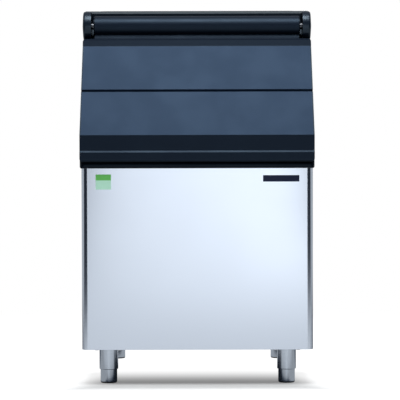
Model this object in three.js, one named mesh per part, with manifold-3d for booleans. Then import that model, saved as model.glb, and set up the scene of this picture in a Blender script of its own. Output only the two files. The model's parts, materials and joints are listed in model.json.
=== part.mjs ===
// Slope-front ice storage bin in millimetres, +Z up, front towards -Y.
// The origin is on the floor under the middle of the whole outline.
// Heights are measured from the underside of the steel body, which stands on the legs,
// and depths backwards from its steel front, unless a comment says otherwise.
import * as THREE from "three";
import { mergeVertices } from "three/addons/utils/BufferGeometryUtils.js";
import Module from "manifold-3d";

const wasm = await Module();
wasm.setup();

// Steel body
const bodyWidth = 754;
const bodyDepth = 844;
const bodyHeight = 1119; // underside of the body to the face that carries an ice machine
const sheetThickness = 1.2;
const shellBendRadius = 20;
const shellReturn = 18; // flange turned inwards under the body
const swageWidth = 46; // pressed stiffening channels in the rear panel
const swageDepth = 4;
const swageEndMargin = 70;
const swageHeightShares = [0.22, 0.5, 0.78];

// Gaps
const seatGap = 0.3; // between pieces that rest on each other
const runningGap = 0.35; // between a pin and its bush
const overrun = 60; // how far a cutting shape reaches past what it cuts

// Insulation and liner
const insulationThickness = 46;
const linerWall = 3.5;
const linerCornerRadius = 25;
const linerFloorRadius = 20;
const floorFrontHeight = 76;
const floorRearHeight = 67;
const floorDrainHeight = 62;
const ceilingDepth = 95; // behind the door's face, over the front of the store
const deckRailWidth = 44; // from the deck's front edge to the drop opening

// Slope of the door's face, and the hinge axis from the slope's foot
const slopeRise = 296;
const slopeRun = 197;
const faceReach = 16; // upright face of the door, in front of the steel
const hingeSetback = 93.4; // along the slope from its top end
const hingeInset = 14.5;
const hingeDrop = 54; // below the deck's top face

// Door
const doorOverhang = 4; // past the steel on each side
const doorThickness = 38;
const doorWall = 5;
const doorCornerRadius = 10;
const faceHeight = 50;
const stepHeight = 6;
const lipReach = 20;
const lipHeight = 30;
const lipThickness = 17;
const lipRadius = 6;
const edgeRadius = 1.5;
const slopeFootRadius = 3;
const ridgeRun = 9;
const ridgeRise = 25.5;
const ridgeRootRadius = 6;
const ridgeRadius = 4;
const grooveShare = 0.4935; // of the slope, from its foot to the groove
const grooveWidth = 9.5;
const grooveDepth = 9;
const hollowStart = 2; // along the slope, where the foam core begins
const hollowEndMargin = 10; // solid stretch above the foam core
const innerPanelThickness = 3;
const innerFieldMargin = 24;
const innerFieldDepth = 5;
const innerFieldRadius = 30;
const gasketThickness = 8;
const gasketWidth = 14;
const gasketStandoff = 3;

// Roll along the door's upper edge, and what it turns on
const rollRadius = 34;
const rollInset = 34; // from the steel side to the roll's end
const rollWall = 4;
const neckThickness = 23;
const plugLength = 24;
const plugFlange = 2.5;
const plugFlangeRadius = 32.5;
const bushRadius = 14;
const pinRadius = 8;
const pinReach = 36; // into the roll
const pinCollarRadius = 11;
const pinHeadRadius = 12;
const pinHeadThickness = 4;
const capGap = 11; // from the roll's end to the cap
const capRadius = 49.5;
const capWidth = 31;
const capWall = 3.5;
const capCrown = 4;
const capEdgeRadius = 7;
const capClearance = 3.5; // between the cap and the door that swings round it
const bracketInset = 2; // from the cap's open side
const bracketThickness = 4;
const bracketEarRadius = 20;
const bracketLength = 58;
const bracketFlangeWidth = 15;
const boltPitch = 38;
const boltRadius = 3;
const boltHeadRadius = 5.8;
const boltHeadHeight = 4;
const boltReach = 10;

// Moulded frame round the sloped opening
const frameOverhang = 4.5; // past the steel on each side
const frameThickness = 14;
const frameSkirt = 8; // how far its flange reaches down over the steel sides
const beadReach = 12;
const beadHeight = 20;
const beadGap = 2;
const beadRadius = 8;
const beadEndRadius = 15;
const beadEndRise = 7; // rounding of its ends, seen from the front
const frameApron = 2; // behind the grip lip, in front of the steel
const beadWrap = 8; // behind the steel's front, round the corner
const windowInset = 47; // from the steel side to the opening
const windowLength = 320;
const windowRadius = 28;
const rimWidth = 5;
const rimHeight = 5;
const troughClearance = 5; // round the roll
const upstandThickness = 7.5;

// Deck that carries the ice machine
const deckDepth = 8.5;
const deckSheet = 1.5;
const rollToDeck = 17;
const sealWidth = 18;
const sealThickness = 1.4;
const sealMargin = 8;

// Legs, with heights measured from the floor
const legHeight = 117;
const legSideInset = 83.5;
const legEndInset = 85;
const legPlateSize = 100;
const legPlateThickness = 3;
const legPlateRadius = 10;
const legHoleInset = 13;
const legHoleRadius = 4.5;
const sleeveRadius = 31;
const sleeveWall = 2.7;
const sleeveBottom = 45;
const sleeveTaper = 1.2; // how far its lower end is turned in
const sleeveTaperHeight = 1.5;
const nutBottom = 70;
const nutThickness = 10;
const footRadius = 27.5;
const footWall = 2.5;
const stemRadius = 8;
const stemLength = 35;
const padHeight = 4;
const padRadius = 27;
const padEdge = 2;
const padPlugHeight = 10;

// Drain
const drainInset = 154; // from the rear face
const sumpRadius = 42;
const sumpDepth = 8;
const drainRadius = 16.3;
const drainBore = 12.5;
const drainFlangeRadius = 30;
const drainFlange = 3;
const drainTailLength = 26; // below the body
const drainNutRadius = 26;
const drainNutHeight = 7;
const strainerRadius = 26;
const strainerHeight = 12;
const strainerWall = 2;
const strainerSlot = 3;
const strainerSlots = 6;
const strainerFoot = 3;

// Ice baffle
const baffleAlong = 400;
const baffleDrop = 40; // below the ceiling
const baffleSideGap = 10.3; // to the liner's wall
const baffleHeight = 244;
const baffleThickness = 4;
const baffleTop = 30; // above its pivots
const baffleLip = 14;
const baffleRib = 5;
const baffleRibWidth = 16;
const baffleRibShares = [0.3, 0.55, 0.8];
const bafflePinRadius = 5;
const baffleBossRadius = 9;
const baffleBossLength = 22;
const baffleBracketWidth = 36;
const baffleBracketHeight = 54;
const baffleBracketThickness = 4;
const baffleBracketFootShare = 0.6;
const baffleBracketHeadShare = 0.3;

// Steps of the round shapes
const arcSteps = 3;
const turnedSteps = 24;
const smallSteps = 16;
const rollSteps = 40;
const holeSteps = 8;
const hexagonSides = 6;
const quarterTurn = 90;
const halfTurn = 180;
const fullTurn = 360;
const weldTolerance = 0.001;

const finishes = {
  stainless: new THREE.MeshStandardMaterial({ color: 0xdfe6ec, roughness: 0.32, metalness: 1 }),
  galvanised: new THREE.MeshStandardMaterial({ color: 0xa9afb2, roughness: 0.5, metalness: 1 }),
  legSteel: new THREE.MeshStandardMaterial({ color: 0x9ea0a4, roughness: 0.35, metalness: 1 }),
  doorPlastic: new THREE.MeshStandardMaterial({ color: 0x3c4a5c, roughness: 0.5, metalness: 0 }),
  blackPlastic: new THREE.MeshStandardMaterial({ color: 0x14181d, roughness: 0.5, metalness: 0 }),
  whitePlastic: new THREE.MeshStandardMaterial({ color: 0xe9ecec, roughness: 0.4, metalness: 0 }),
  greyDeck: new THREE.MeshStandardMaterial({ color: 0x62676b, roughness: 0.55, metalness: 0.6 }),
  foam: new THREE.MeshStandardMaterial({ color: 0xe0cf9a, roughness: 0.9, metalness: 0 }),
  rubber: new THREE.MeshStandardMaterial({ color: 0x1b1c1f, roughness: 0.8, metalness: 0 }),
  bearing: new THREE.MeshStandardMaterial({ color: 0xd9d6cc, roughness: 0.4, metalness: 0 }),
};

// Places that several pieces share. A place on the slope is given along it from its foot, and
// proud of the door's face, so that depths into the cabinet are negative.
const slopeLength = Math.hypot(slopeRun, slopeRise);
const along = [slopeRun / slopeLength, slopeRise / slopeLength];
const proud = [-along[1], along[0]];
const hingeAlong = slopeLength + hingeSetback;
const hingeHeight = bodyHeight - hingeDrop;
const slopeFoot = [-faceReach, hingeHeight - hingeAlong * along[1] + hingeInset * proud[1]];
const onSlope = (u, v) => [
  slopeFoot[0] + u * along[0] + v * proud[0],
  slopeFoot[1] + u * along[1] + v * proud[1],
];
// The place along the slope, at level v, where a plane of constant depth or height meets it.
const alongAtDepth = (depth, v) => (depth - slopeFoot[0] - v * proud[0]) / along[0];
const alongAtHeight = (height, v) => (height - slopeFoot[1] - v * proud[1]) / along[1];
const slopeAtDepth = (depth, v) => onSlope(alongAtDepth(depth, v), v);
const slopeAtHeight = (height, v) => onSlope(alongAtHeight(height, v), v);

const doorWidth = bodyWidth + doorOverhang * 2;
const frameWidth = bodyWidth + frameOverhang * 2;
const windowWidth = bodyWidth - windowInset * 2;
const rollLength = bodyWidth - rollInset * 2;
const [hingeDepth] = onSlope(hingeAlong, -hingeInset);
const deckFront = hingeDepth + rollRadius + rollToDeck;
const shellTop = bodyHeight - deckDepth - seatGap;
const frameFace = -(doorThickness + gasketThickness);
const frameUnderside = frameFace - frameThickness;
const rimTop = frameFace + rimHeight;
const upstandFront = deckFront - seatGap - upstandThickness;
const lipTop = slopeFoot[1] - faceHeight - stepHeight;
const lipBottom = lipTop - lipHeight;
const beadTop = lipBottom - beadGap;
const beadBottom = beadTop - beadHeight;
const linerInset = sheetThickness + insulationThickness + linerWall;
const linerHalfWidth = bodyWidth / 2 - linerInset;
const baffleWidth = (linerHalfWidth - baffleSideGap) * 2;
const linerRear = bodyDepth - linerInset;
const dropFront = deckFront + deckRailWidth;
const windowStart = alongAtDepth(linerInset, frameUnderside);
const windowEnd = windowStart + windowLength;
const hollowEnd = alongAtHeight(slopeFoot[1] + slopeRise + ridgeRise, -doorWall) - hollowEndMargin;
const interiorHalfWidth = bodyWidth / 2 - sheetThickness - seatGap;
const interiorFront = sheetThickness + seatGap;
const interiorRear = bodyDepth - sheetThickness - seatGap;
const drainDepth = bodyDepth - drainInset;
const sumpFloor = floorDrainHeight - sumpDepth;
const basePanelBottom = sheetThickness + seatGap;

// Shapes and solids
function roundedShape(corners) {
  const shape = new THREE.Shape();
  corners.forEach(([a, b, radius = 0], i) => {
    const corner = new THREE.Vector2(a, b);
    const before = corners.at(i - 1);
    const after = corners[(i + 1) % corners.length];
    const back = new THREE.Vector2(before[0], before[1]).sub(corner).normalize();
    const ahead = new THREE.Vector2(after[0], after[1]).sub(corner).normalize();
    const halfAngle = back.angleTo(ahead) / 2;
    const start = corner.clone().addScaledVector(back, radius / Math.tan(halfAngle));
    if (i === 0) shape.moveTo(start.x, start.y);
    else shape.lineTo(start.x, start.y);
    if (radius === 0) return;
    const end = corner.clone().addScaledVector(ahead, radius / Math.tan(halfAngle));
    const bisector = back.clone().add(ahead).normalize();
    const centre = corner.clone().addScaledVector(bisector, radius / Math.sin(halfAngle));
    const from = start.sub(centre).angle();
    const to = end.sub(centre).angle();
    shape.absarc(centre.x, centre.y, radius, from, to, back.cross(ahead) > 0);
  });
  return shape;
}

function solidOf(geometry) {
  geometry.deleteAttribute("normal");
  geometry.deleteAttribute("uv");
  const merged = mergeVertices(geometry, weldTolerance);
  const index = merged.index.array;
  const triangles = [];
  for (let i = 0; i < index.length; i += 3) {
    const [a, b, c] = [index[i], index[i + 1], index[i + 2]];
    if (a !== b && b !== c && c !== a) triangles.push(a, b, c);
  }
  const vertProperties = merged.attributes.position.array;
  const triVerts = Uint32Array.from(triangles);
  return new wasm.Manifold(new wasm.Mesh({ numProp: 3, vertProperties, triVerts }));
}

// An outline drawn on two of the axes, extruded along a third from one place to another.
function extruded(corners, from, to, [first, second, third]) {
  const options = { depth: to - from, bevelEnabled: false, curveSegments: arcSteps };
  const geometry = new THREE.ExtrudeGeometry(roundedShape(corners), options);
  geometry.translate(0, 0, from);
  geometry.applyMatrix4(new THREE.Matrix4().makeBasis(first, second, third));
  return solidOf(geometry);
}

const X = new THREE.Vector3(1, 0, 0);
const Y = new THREE.Vector3(0, 1, 0);
const Z = new THREE.Vector3(0, 0, 1);
const U = new THREE.Vector3(0, along[0], along[1]);
const V = new THREE.Vector3(0, proud[0], proud[1]);

// Outlines of depth and height, extruded across the width.
const prismBetween = (corners, left, right) => extruded(corners, left, right, [Y, Z, X]);
const prism = (corners, width) => prismBetween(corners, -width / 2, width / 2);
// Outlines of width and depth, extruded upwards.
const column = (corners, bottom, top) => extruded(corners, bottom, top, [X, Y, Z]);
// Outlines of width and height, extruded backwards.
const slab = (corners, front, rear) => extruded(corners, -rear, -front, [X, Z, Y.clone().negate()]);
// Outlines of width and place along the slope, extruded square to the slope.
const slopeSlab = (corners, low, high) =>
  extruded(corners, low, high, [X, U, V]).translate([0, slopeFoot[0], slopeFoot[1]]);

const rectangle = (halfWidth, low, high, radius = 0) => [
  [-halfWidth, low, radius],
  [halfWidth, low, radius],
  [halfWidth, high, radius],
  [-halfWidth, high, radius],
];

// A profile of radius and height turned round the Z axis: it starts and ends on the axis, or
// else closes on itself.
function turned(corners, steps = turnedSteps) {
  const points = roundedShape(corners).getPoints(arcSteps);
  if (points[0].x > 0) points.push(points[0].clone());
  const geometry = new THREE.LatheGeometry(points, steps);
  return solidOf(geometry.rotateX(Math.PI / 2));
}

// The same, turned round the X axis, with heights along it.
const turnedAcross = (corners, steps) => turned(corners, steps).rotate([0, quarterTurn, 0]);

// A round bar or a bore.
const bar = (radius, bottom, top, steps) =>
  turned([[0, bottom], [radius, bottom], [radius, top], [0, top]], steps);
const barAcross = (radius, left, right, steps) => bar(radius, left, right, steps).rotate([0, quarterTurn, 0]);

function piece(name, solid, finish) {
  const { vertProperties, triVerts } = solid.getMesh();
  const geometry = new THREE.BufferGeometry();
  geometry.setAttribute("position", new THREE.BufferAttribute(vertProperties, 3));
  geometry.setIndex(new THREE.BufferAttribute(triVerts, 1));
  const faceted = geometry.toNonIndexed();
  faceted.computeVertexNormals();
  const mesh = new THREE.Mesh(faceted, finish);
  mesh.name = name;
  return mesh;
}

const atHinge = (solid) => solid.translate([0, hingeDepth, hingeHeight]);

// A plan of the body with its front corners bent round, moved inwards by an inset.
function bodyPlan(inset, rear) {
  const half = bodyWidth / 2 - inset;
  const radius = Math.max(shellBendRadius - inset, 0);
  return [[-half, inset, radius], [half, inset, radius], [half, rear], [-half, rear]];
}

// What lies above the slope at level v, and in front of the deck from a given depth.
function aboveSlope(v, rear) {
  const low = slopeAtDepth(-overrun, v);
  const high = slopeAtDepth(rear, v);
  const ceiling = bodyHeight + overrun;
  return prism([low, high, [rear, ceiling], [-overrun, ceiling]], bodyWidth + overrun);
}

// Steel wrap: front and two sides, open at the back, with a return under the body.
function outerShell() {
  const rear = interiorRear;
  const behind = bodyDepth + overrun;
  const block = column(bodyPlan(0, rear), 0, shellTop);
  const inside = column(bodyPlan(sheetThickness, behind), sheetThickness, shellTop + overrun);
  const under = column(bodyPlan(shellReturn, behind), -overrun, shellTop);
  const front = aboveSlope(frameUnderside - seatGap, deckFront);
  return block.subtract(inside).subtract(under).subtract(front);
}

// One pressed channel of the rear panel, as the outline of its inner or its outer side.
function swage(share, margin, front, rear) {
  const height = shellTop * share;
  const half = swageWidth / 2 + margin;
  const slant = rear - front;
  const corners = [
    [front, height - half + slant],
    [rear, height - half],
    [rear, height + half],
    [front, height + half - slant],
  ];
  return prism(corners, bodyWidth - (swageEndMargin - margin) * 2);
}

function rearPanel() {
  const front = bodyDepth - sheetThickness;
  let panel = slab(rectangle(bodyWidth / 2, 0, shellTop), front, bodyDepth);
  for (const share of swageHeightShares) {
    panel = panel.add(swage(share, 0, front - swageDepth, front + seatGap));
    panel = panel.subtract(swage(share, -sheetThickness, bodyDepth - swageDepth, bodyDepth + seatGap));
  }
  return panel;
}

function basePanel() {
  const outline = bodyPlan(interiorFront, interiorRear);
  const plate = column(outline, basePanelBottom, basePanelBottom + sheetThickness);
  const hole = bar(drainRadius + seatGap, -overrun, overrun).translate([0, drainDepth, 0]);
  return plate.subtract(hole);
}

// The store's side view, every face moved outwards by grow. It opens through the slope and
// through the deck, past which it runs by an overrun.
function storeProfile(grow, pastSlope, pastDeck) {
  const low = windowStart - grow / along[1];
  const high = windowEnd + grow;
  const ceiling = grow - ceilingDepth;
  const floorRadius = linerFloorRadius + grow;
  const front = linerInset - grow;
  return [
    [front, floorFrontHeight - grow, floorRadius],
    [drainDepth, floorDrainHeight - grow],
    [linerRear + grow, floorRearHeight - grow, floorRadius],
    [linerRear + grow, pastDeck],
    [dropFront - grow, pastDeck],
    slopeAtDepth(dropFront - grow, ceiling),
    onSlope(high, ceiling),
    onSlope(high, pastSlope),
    onSlope(low, pastSlope),
    slopeAtDepth(front, frameUnderside),
  ];
}

function store(grow, pastSlope, pastDeck) {
  const half = linerHalfWidth + grow;
  const side = prism(storeProfile(grow, pastSlope, pastDeck), half * 2);
  const cornerRadius = linerCornerRadius + grow;
  const plan = rectangle(half, linerInset - grow, linerRear + grow, cornerRadius);
  const floor = floorDrainHeight - sumpDepth - grow;
  const upright = column(plan, floor, pastDeck + overrun);
  const frontCorners = rectangle(half, floorDrainHeight - grow, pastDeck + overrun, linerFloorRadius + grow);
  const across = slab(frontCorners, -overrun, bodyDepth);
  const sump = bar(sumpRadius + grow, floor, floorFrontHeight).translate([0, drainDepth, 0]);
  return side.intersect(upright).intersect(across).add(sump);
}

// White moulded tub with a rim on the slope and a rim under the deck.
function iceLiner() {
  const rimThickness = linerWall - seatGap;
  const tub = store(linerWall, frameUnderside - seatGap, shellTop);
  const slopeRim = rimOnSlope(frameUnderside - seatGap - rimThickness, frameUnderside - seatGap);
  const deckOutline = rectangle(interiorHalfWidth, deckFront + seatGap, interiorRear);
  const deckRim = column(deckOutline, shellTop - rimThickness, shellTop);
  const cavity = store(0, overrun, bodyHeight + overrun);
  const hole = bar(drainRadius + seatGap, 0, floorFrontHeight).translate([0, drainDepth, 0]);
  return tub.add(slopeRim).add(deckRim).subtract(cavity).subtract(hole);
}

// A plate between two levels of the slope, as wide as the inside of the steel.
function rimOnSlope(low, high) {
  const corners = [
    slopeAtDepth(interiorFront, low),
    slopeAtDepth(deckFront - seatGap, low),
    slopeAtDepth(deckFront - seatGap, high),
    slopeAtDepth(interiorFront, high),
  ];
  const plan = column(bodyPlan(interiorFront, interiorRear), 0, bodyHeight);
  return prism(corners, interiorHalfWidth * 2).intersect(plan);
}

function insulationFoam() {
  const bottom = basePanelBottom + sheetThickness + seatGap;
  let foam = column(bodyPlan(interiorFront, interiorRear), bottom, shellTop - linerWall);
  foam = foam.subtract(aboveSlope(frameUnderside - linerWall - seatGap, deckFront));
  foam = foam.subtract(store(linerWall + seatGap, overrun, bodyHeight + overrun));
  foam = foam.subtract(bar(drainRadius + seatGap, -overrun, floorFrontHeight).translate([0, drainDepth, 0]));
  for (const share of swageHeightShares) {
    foam = foam.subtract(swage(share, sheetThickness, interiorRear - swageDepth, bodyDepth));
  }
  return foam;
}

// Moulded frame: sloped rails round the opening, a trough that follows the roll, an upstand in
// front of the deck and a round-ended bead under the door.
function topFrame() {
  const skirt = frameUnderside - frameSkirt;
  const corners = [
    [-beadReach, beadBottom, beadRadius],
    [beadWrap, beadBottom],
    slopeAtDepth(beadWrap, skirt),
    slopeAtDepth(deckFront - seatGap, skirt),
    [deckFront - seatGap, shellTop],
    [upstandFront, shellTop],
    slopeAtDepth(upstandFront, frameFace),
    slopeAtDepth(-frameApron, frameFace),
    [-frameApron, beadTop],
    [-beadReach, beadTop, beadRadius],
  ];
  const plan = [
    [-frameWidth / 2, -beadReach, beadEndRadius],
    [frameWidth / 2, -beadReach, beadEndRadius],
    [frameWidth / 2, deckFront],
    [-frameWidth / 2, deckFront],
  ];
  const rimOutline = rectangle(
    windowWidth / 2 + rimWidth,
    windowStart - rimWidth,
    windowEnd + rimWidth,
    windowRadius + rimWidth,
  );
  const windowOutline = rectangle(windowWidth / 2, windowStart, windowEnd, windowRadius);
  const steel = column(bodyPlan(-seatGap, bodyDepth), -overrun, bodyHeight);
  const underPlate = steel.subtract(aboveSlope(frameUnderside, deckFront + overrun));
  const ends = [
    [-frameWidth / 2, beadBottom, beadEndRise],
    [frameWidth / 2, beadBottom, beadEndRise],
    [frameWidth / 2, bodyHeight],
    [-frameWidth / 2, bodyHeight],
  ];
  let frame = prism(corners, frameWidth).intersect(column(plan, 0, bodyHeight));
  frame = frame.intersect(slab(ends, -overrun, bodyDepth));
  frame = frame.subtract(underPlate);
  frame = frame.add(slopeSlab(rimOutline, frameFace - rimHeight, rimTop));
  frame = frame.subtract(slopeSlab(windowOutline, frameUnderside - overrun, overrun));
  const troughRadius = rollRadius + troughClearance;
  const troughEnd = rollLength / 2 + troughClearance;
  const trough = barAcross(troughRadius, -troughEnd, troughEnd, rollSteps);
  frame = frame.subtract(atHinge(trough));
  for (const place of boltPlaces()) {
    const hole = boltHole(place, frameFace - boltReach - seatGap);
    frame = frame.subtract(hole).subtract(hole.mirror([1, 0, 0]));
  }
  return frame;
}

// Bolts that hold a hinge bracket: their places along the slope, and from the middle.
const boltPlaces = () => [hingeAlong - boltPitch / 2, hingeAlong + boltPitch / 2];
const boltAcross = () => bracketInside() + bracketThickness + bracketFlangeWidth / 2;

// The inner side of a bracket's ear, from the middle of the bin.
const bracketInside = () => rollLength / 2 + capGap + bracketInset;

// Turns a solid drawn upright square to the slope, with its foot on the door's face.
function squareToSlope(solid, place) {
  const lean = (Math.atan2(along[0], along[1]) * halfTurn) / Math.PI;
  const [depth, height] = onSlope(place, 0);
  return solid.rotate([quarterTurn - lean, 0, 0]).translate([boltAcross(), depth, height]);
}

const boltHole = (place, low) =>
  squareToSlope(bar(boltRadius + seatGap, low, low + overrun, holeSteps), place);

// Tray-shaped deck with turned-down edges round its outside and round the drop opening.
function machineDeck() {
  const bottom = bodyHeight - deckDepth;
  const outline = (inset) => rectangle(bodyWidth / 2 - inset, deckFront + inset, bodyDepth - inset);
  const opening = (grow) => dropOutline(grow);
  const tray = column(outline(0), bottom, bodyHeight);
  const pocket = column(outline(deckSheet), bottom - overrun, bodyHeight - deckSheet);
  const keptRim = column(opening(deckSheet), bottom - overrun, bodyHeight);
  const hole = column(opening(0), bottom - overrun, bodyHeight + overrun);
  return tray.subtract(pocket.subtract(keptRim)).subtract(hole);
}

function dropOutline(grow) {
  return rectangle(linerHalfWidth + grow, dropFront - grow, linerRear + grow, linerCornerRadius + grow);
}

// Soft strip round the drop opening, on which the machine's base seals.
function deckSeal() {
  const bottom = bodyHeight + seatGap;
  const top = bottom + sealThickness;
  const outside = column(dropOutline(sealMargin + sealWidth), bottom, top);
  return outside.subtract(column(dropOutline(sealMargin), bottom - overrun, top + overrun));
}

// Door
function doorGroove(grow) {
  const middle = slopeLength * grooveShare;
  const half = grooveWidth / 2 + grow;
  const outline = rectangle(doorWidth / 2 + overrun, middle - half, middle + half);
  return slopeSlab(outline, -grooveDepth - grow, overrun);
}

function doorHollow(gap, low, high) {
  const outline = rectangle(doorWidth / 2 - doorWall - gap, hollowStart + gap, hollowEnd - gap);
  return slopeSlab(outline, low, high).subtract(doorGroove(doorWall + gap));
}

// One moulding: grip lip, step, upright face, grooved slope, ridge, neck and hollow roll.
function doorSkin() {
  const ridgeHeight = slopeFoot[1] + slopeRise + ridgeRise;
  const lipBack = lipThickness - lipReach;
  const corners = [
    [-lipReach, lipBottom, lipRadius],
    [lipBack, lipBottom, edgeRadius],
    slopeAtDepth(lipBack, -doorThickness),
    slopeAtHeight(ridgeHeight, -doorThickness),
    [slopeFoot[0] + slopeRun + ridgeRun, ridgeHeight, ridgeRadius],
    [...onSlope(slopeLength, 0), ridgeRootRadius],
    [...slopeFoot, slopeFootRadius],
    [-faceReach, lipTop + stepHeight, edgeRadius],
    [-lipReach, lipTop, edgeRadius],
  ];
  const front = rectangle(doorWidth / 2, lipBottom, ridgeHeight, doorCornerRadius);
  const panel = prism(corners, doorWidth).intersect(slab(front, -overrun, bodyDepth));
  const neckCorners = [
    slopeAtHeight(ridgeHeight - seatGap, -doorThickness),
    onSlope(hingeAlong, -doorThickness),
    onSlope(hingeAlong, neckThickness - doorThickness),
    slopeAtHeight(ridgeHeight - seatGap, neckThickness - doorThickness),
  ];
  const roll = atHinge(barAcross(rollRadius, -rollLength / 2, rollLength / 2, rollSteps));
  const neck = prism(neckCorners, rollLength);
  let skin = panel.subtract(capSweep()).add(neck.intersect(neckReach(ridgeHeight))).add(roll);
  skin = skin.subtract(doorHollow(0, -doorThickness - overrun, -doorWall));
  skin = skin.subtract(atHinge(barAcross(rollRadius - rollWall, -rollLength, rollLength, rollSteps)));
  return skin.subtract(doorGroove(0));
}

// The neck ends inside the roll, so nothing of it shows behind or in front.
function neckReach(ridgeHeight) {
  const roll = barAcross(rollRadius - rollWall / 2, -rollLength / 2, rollLength / 2, rollSteps);
  const below = slab(rectangle(rollLength / 2, ridgeHeight - overrun, hingeHeight - rollWall), 0, bodyDepth);
  return atHinge(roll).add(below);
}

// What the two caps need clear when the door swings round them.
function capSweep() {
  const radius = capRadius + capClearance;
  const right = barAcross(radius, rollLength / 2, doorWidth / 2 + overrun, rollSteps);
  const left = barAcross(radius, -doorWidth / 2 - overrun, -rollLength / 2, rollSteps);
  return atHinge(right.add(left));
}

function doorFoam() {
  const low = innerPanelThickness + seatGap - doorThickness;
  return doorHollow(seatGap, low, -doorWall - seatGap);
}

// Inner face of the door, with a raised field that reaches into the opening.
function doorInnerPanel() {
  const outline = rectangle(doorWidth / 2 - doorWall - seatGap, hollowStart + seatGap, hollowEnd - seatGap);
  const plate = slopeSlab(outline, -doorThickness, innerPanelThickness - doorThickness);
  const field = (inset) =>
    rectangle(
      windowWidth / 2 - innerFieldMargin - inset,
      windowStart + innerFieldMargin + inset,
      windowEnd - innerFieldMargin - inset,
      innerFieldRadius - inset,
    );
  const half = innerFieldDepth / 2;
  const lower = slopeSlab(field(0), -doorThickness - half, seatGap - doorThickness);
  const upper = slopeSlab(field(half), -doorThickness - innerFieldDepth, seatGap - doorThickness);
  return plate.add(lower).add(upper);
}

function doorGasket() {
  const inside = rimWidth + gasketStandoff;
  const ring = (grow) =>
    rectangle(windowWidth / 2 + grow, windowStart - grow, windowEnd + grow, windowRadius + grow);
  const low = frameFace + seatGap;
  const high = -doorThickness - seatGap;
  const outside = slopeSlab(ring(inside + gasketWidth), low, high);
  return outside.subtract(slopeSlab(ring(inside), low - overrun, high + overrun));
}

// Hinge pieces, drawn for the right-hand side round the hinge axis.
function rollPlug() {
  const end = rollLength / 2;
  const bore = bushRadius + seatGap;
  const body = rollRadius - rollWall - seatGap;
  return turnedAcross([
    [bore, end - plugLength],
    [body, end - plugLength],
    [body, end + seatGap],
    [plugFlangeRadius, end + seatGap],
    [plugFlangeRadius, end + seatGap + plugFlange],
    [bore, end + seatGap + plugFlange],
  ]);
}

function hingeBush() {
  const end = rollLength / 2;
  const bore = pinRadius + runningGap;
  return turnedAcross([
    [bore, end - plugLength],
    [bushRadius, end - plugLength],
    [bushRadius, end + plugFlange],
    [bore, end + plugFlange],
  ], smallSteps);
}

function hingePin() {
  const ear = bracketInside();
  const collar = rollLength / 2 + seatGap * 2 + plugFlange + runningGap;
  const head = ear + bracketThickness + seatGap;
  return turnedAcross([
    [0, rollLength / 2 - pinReach],
    [pinRadius, rollLength / 2 - pinReach],
    [pinRadius, collar],
    [pinCollarRadius, collar],
    [pinCollarRadius, ear - seatGap],
    [pinRadius, ear - seatGap],
    [pinRadius, head],
    [pinHeadRadius, head],
    [pinHeadRadius, head + pinHeadThickness],
    [0, head + pinHeadThickness],
  ], smallSteps);
}

// Steel ear inside the cap with a foot on the frame. Its outline is in the slope's directions.
function hingeBracket() {
  const inside = bracketInside();
  const outside = inside + bracketThickness;
  const foot = frameFace + seatGap;
  const earCorners = [
    onSlope(hingeAlong - bracketLength / 2, foot),
    onSlope(hingeAlong + bracketLength / 2, foot),
    onSlope(hingeAlong + bracketLength / 2, foot + bracketThickness),
    onSlope(hingeAlong + bracketEarRadius, -hingeInset),
    onSlope(hingeAlong - bracketEarRadius, -hingeInset),
    onSlope(hingeAlong - bracketLength / 2, foot + bracketThickness),
  ];
  const footCorners = [
    onSlope(hingeAlong - bracketLength / 2, foot),
    onSlope(hingeAlong + bracketLength / 2, foot),
    onSlope(hingeAlong + bracketLength / 2, foot + bracketThickness),
    onSlope(hingeAlong - bracketLength / 2, foot + bracketThickness),
  ];
  const ear = prismBetween(earCorners, inside, outside);
  const eye = atHinge(barAcross(bracketEarRadius, inside, outside, smallSteps));
  const flange = prismBetween(footCorners, inside, outside + bracketFlangeWidth);
  const hole = atHinge(barAcross(pinRadius + seatGap, 0, bodyWidth, smallSteps));
  let bracket = ear.add(eye).add(flange).subtract(hole);
  for (const place of boltPlaces()) bracket = bracket.subtract(boltHole(place, frameFace));
  return bracket;
}

function hingeBolt(place) {
  const seat = frameFace + seatGap * 2 + bracketThickness;
  const shank = bar(boltRadius, frameFace - boltReach, seat + boltHeadHeight / 2, holeSteps);
  const head = bar(boltHeadRadius, seat, seat + boltHeadHeight, hexagonSides);
  return squareToSlope(shank.add(head), place);
}

// Domed drum, open towards the roll and cut where it sits on the rail and on the upstand.
function hingeCap() {
  const inside = rollLength / 2 + capGap;
  const outside = inside + capWidth;
  const drum = turnedAcross(
    [
      [0, outside - capWall],
      [capRadius - capWall, outside - capCrown - capWall],
      [capRadius - capWall, inside],
      [capRadius, inside],
      [capRadius, outside - capCrown, capEdgeRadius],
      [0, outside],
    ],
    rollSteps,
  );
  const below = prism(
    [
      onSlope(0, frameFace + seatGap),
      slopeAtDepth(bodyDepth, frameFace + seatGap),
      [bodyDepth, 0],
      [0, 0],
    ],
    bodyWidth * 2,
  );
  const behind = slab(rectangle(bodyWidth, 0, bodyHeight + overrun), upstandFront - seatGap, bodyDepth);
  return atHinge(drum).subtract(below).subtract(behind);
}

// Leg pieces, drawn round the leg's own axis from the floor.
function legPlate() {
  const top = legHeight + basePanelBottom - seatGap;
  const half = legPlateSize / 2;
  let plate = column(rectangle(half, -half, half, legPlateRadius), top - legPlateThickness, top);
  for (const x of [-1, 1]) {
    for (const y of [-1, 1]) {
      const hole = bar(legHoleRadius, 0, legHeight + overrun, holeSteps);
      plate = plate.subtract(hole.translate([x * (half - legHoleInset), y * (half - legHoleInset), 0]));
    }
  }
  return plate;
}

const sleeveTop = legHeight + basePanelBottom - seatGap * 2 - legPlateThickness;

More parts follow.
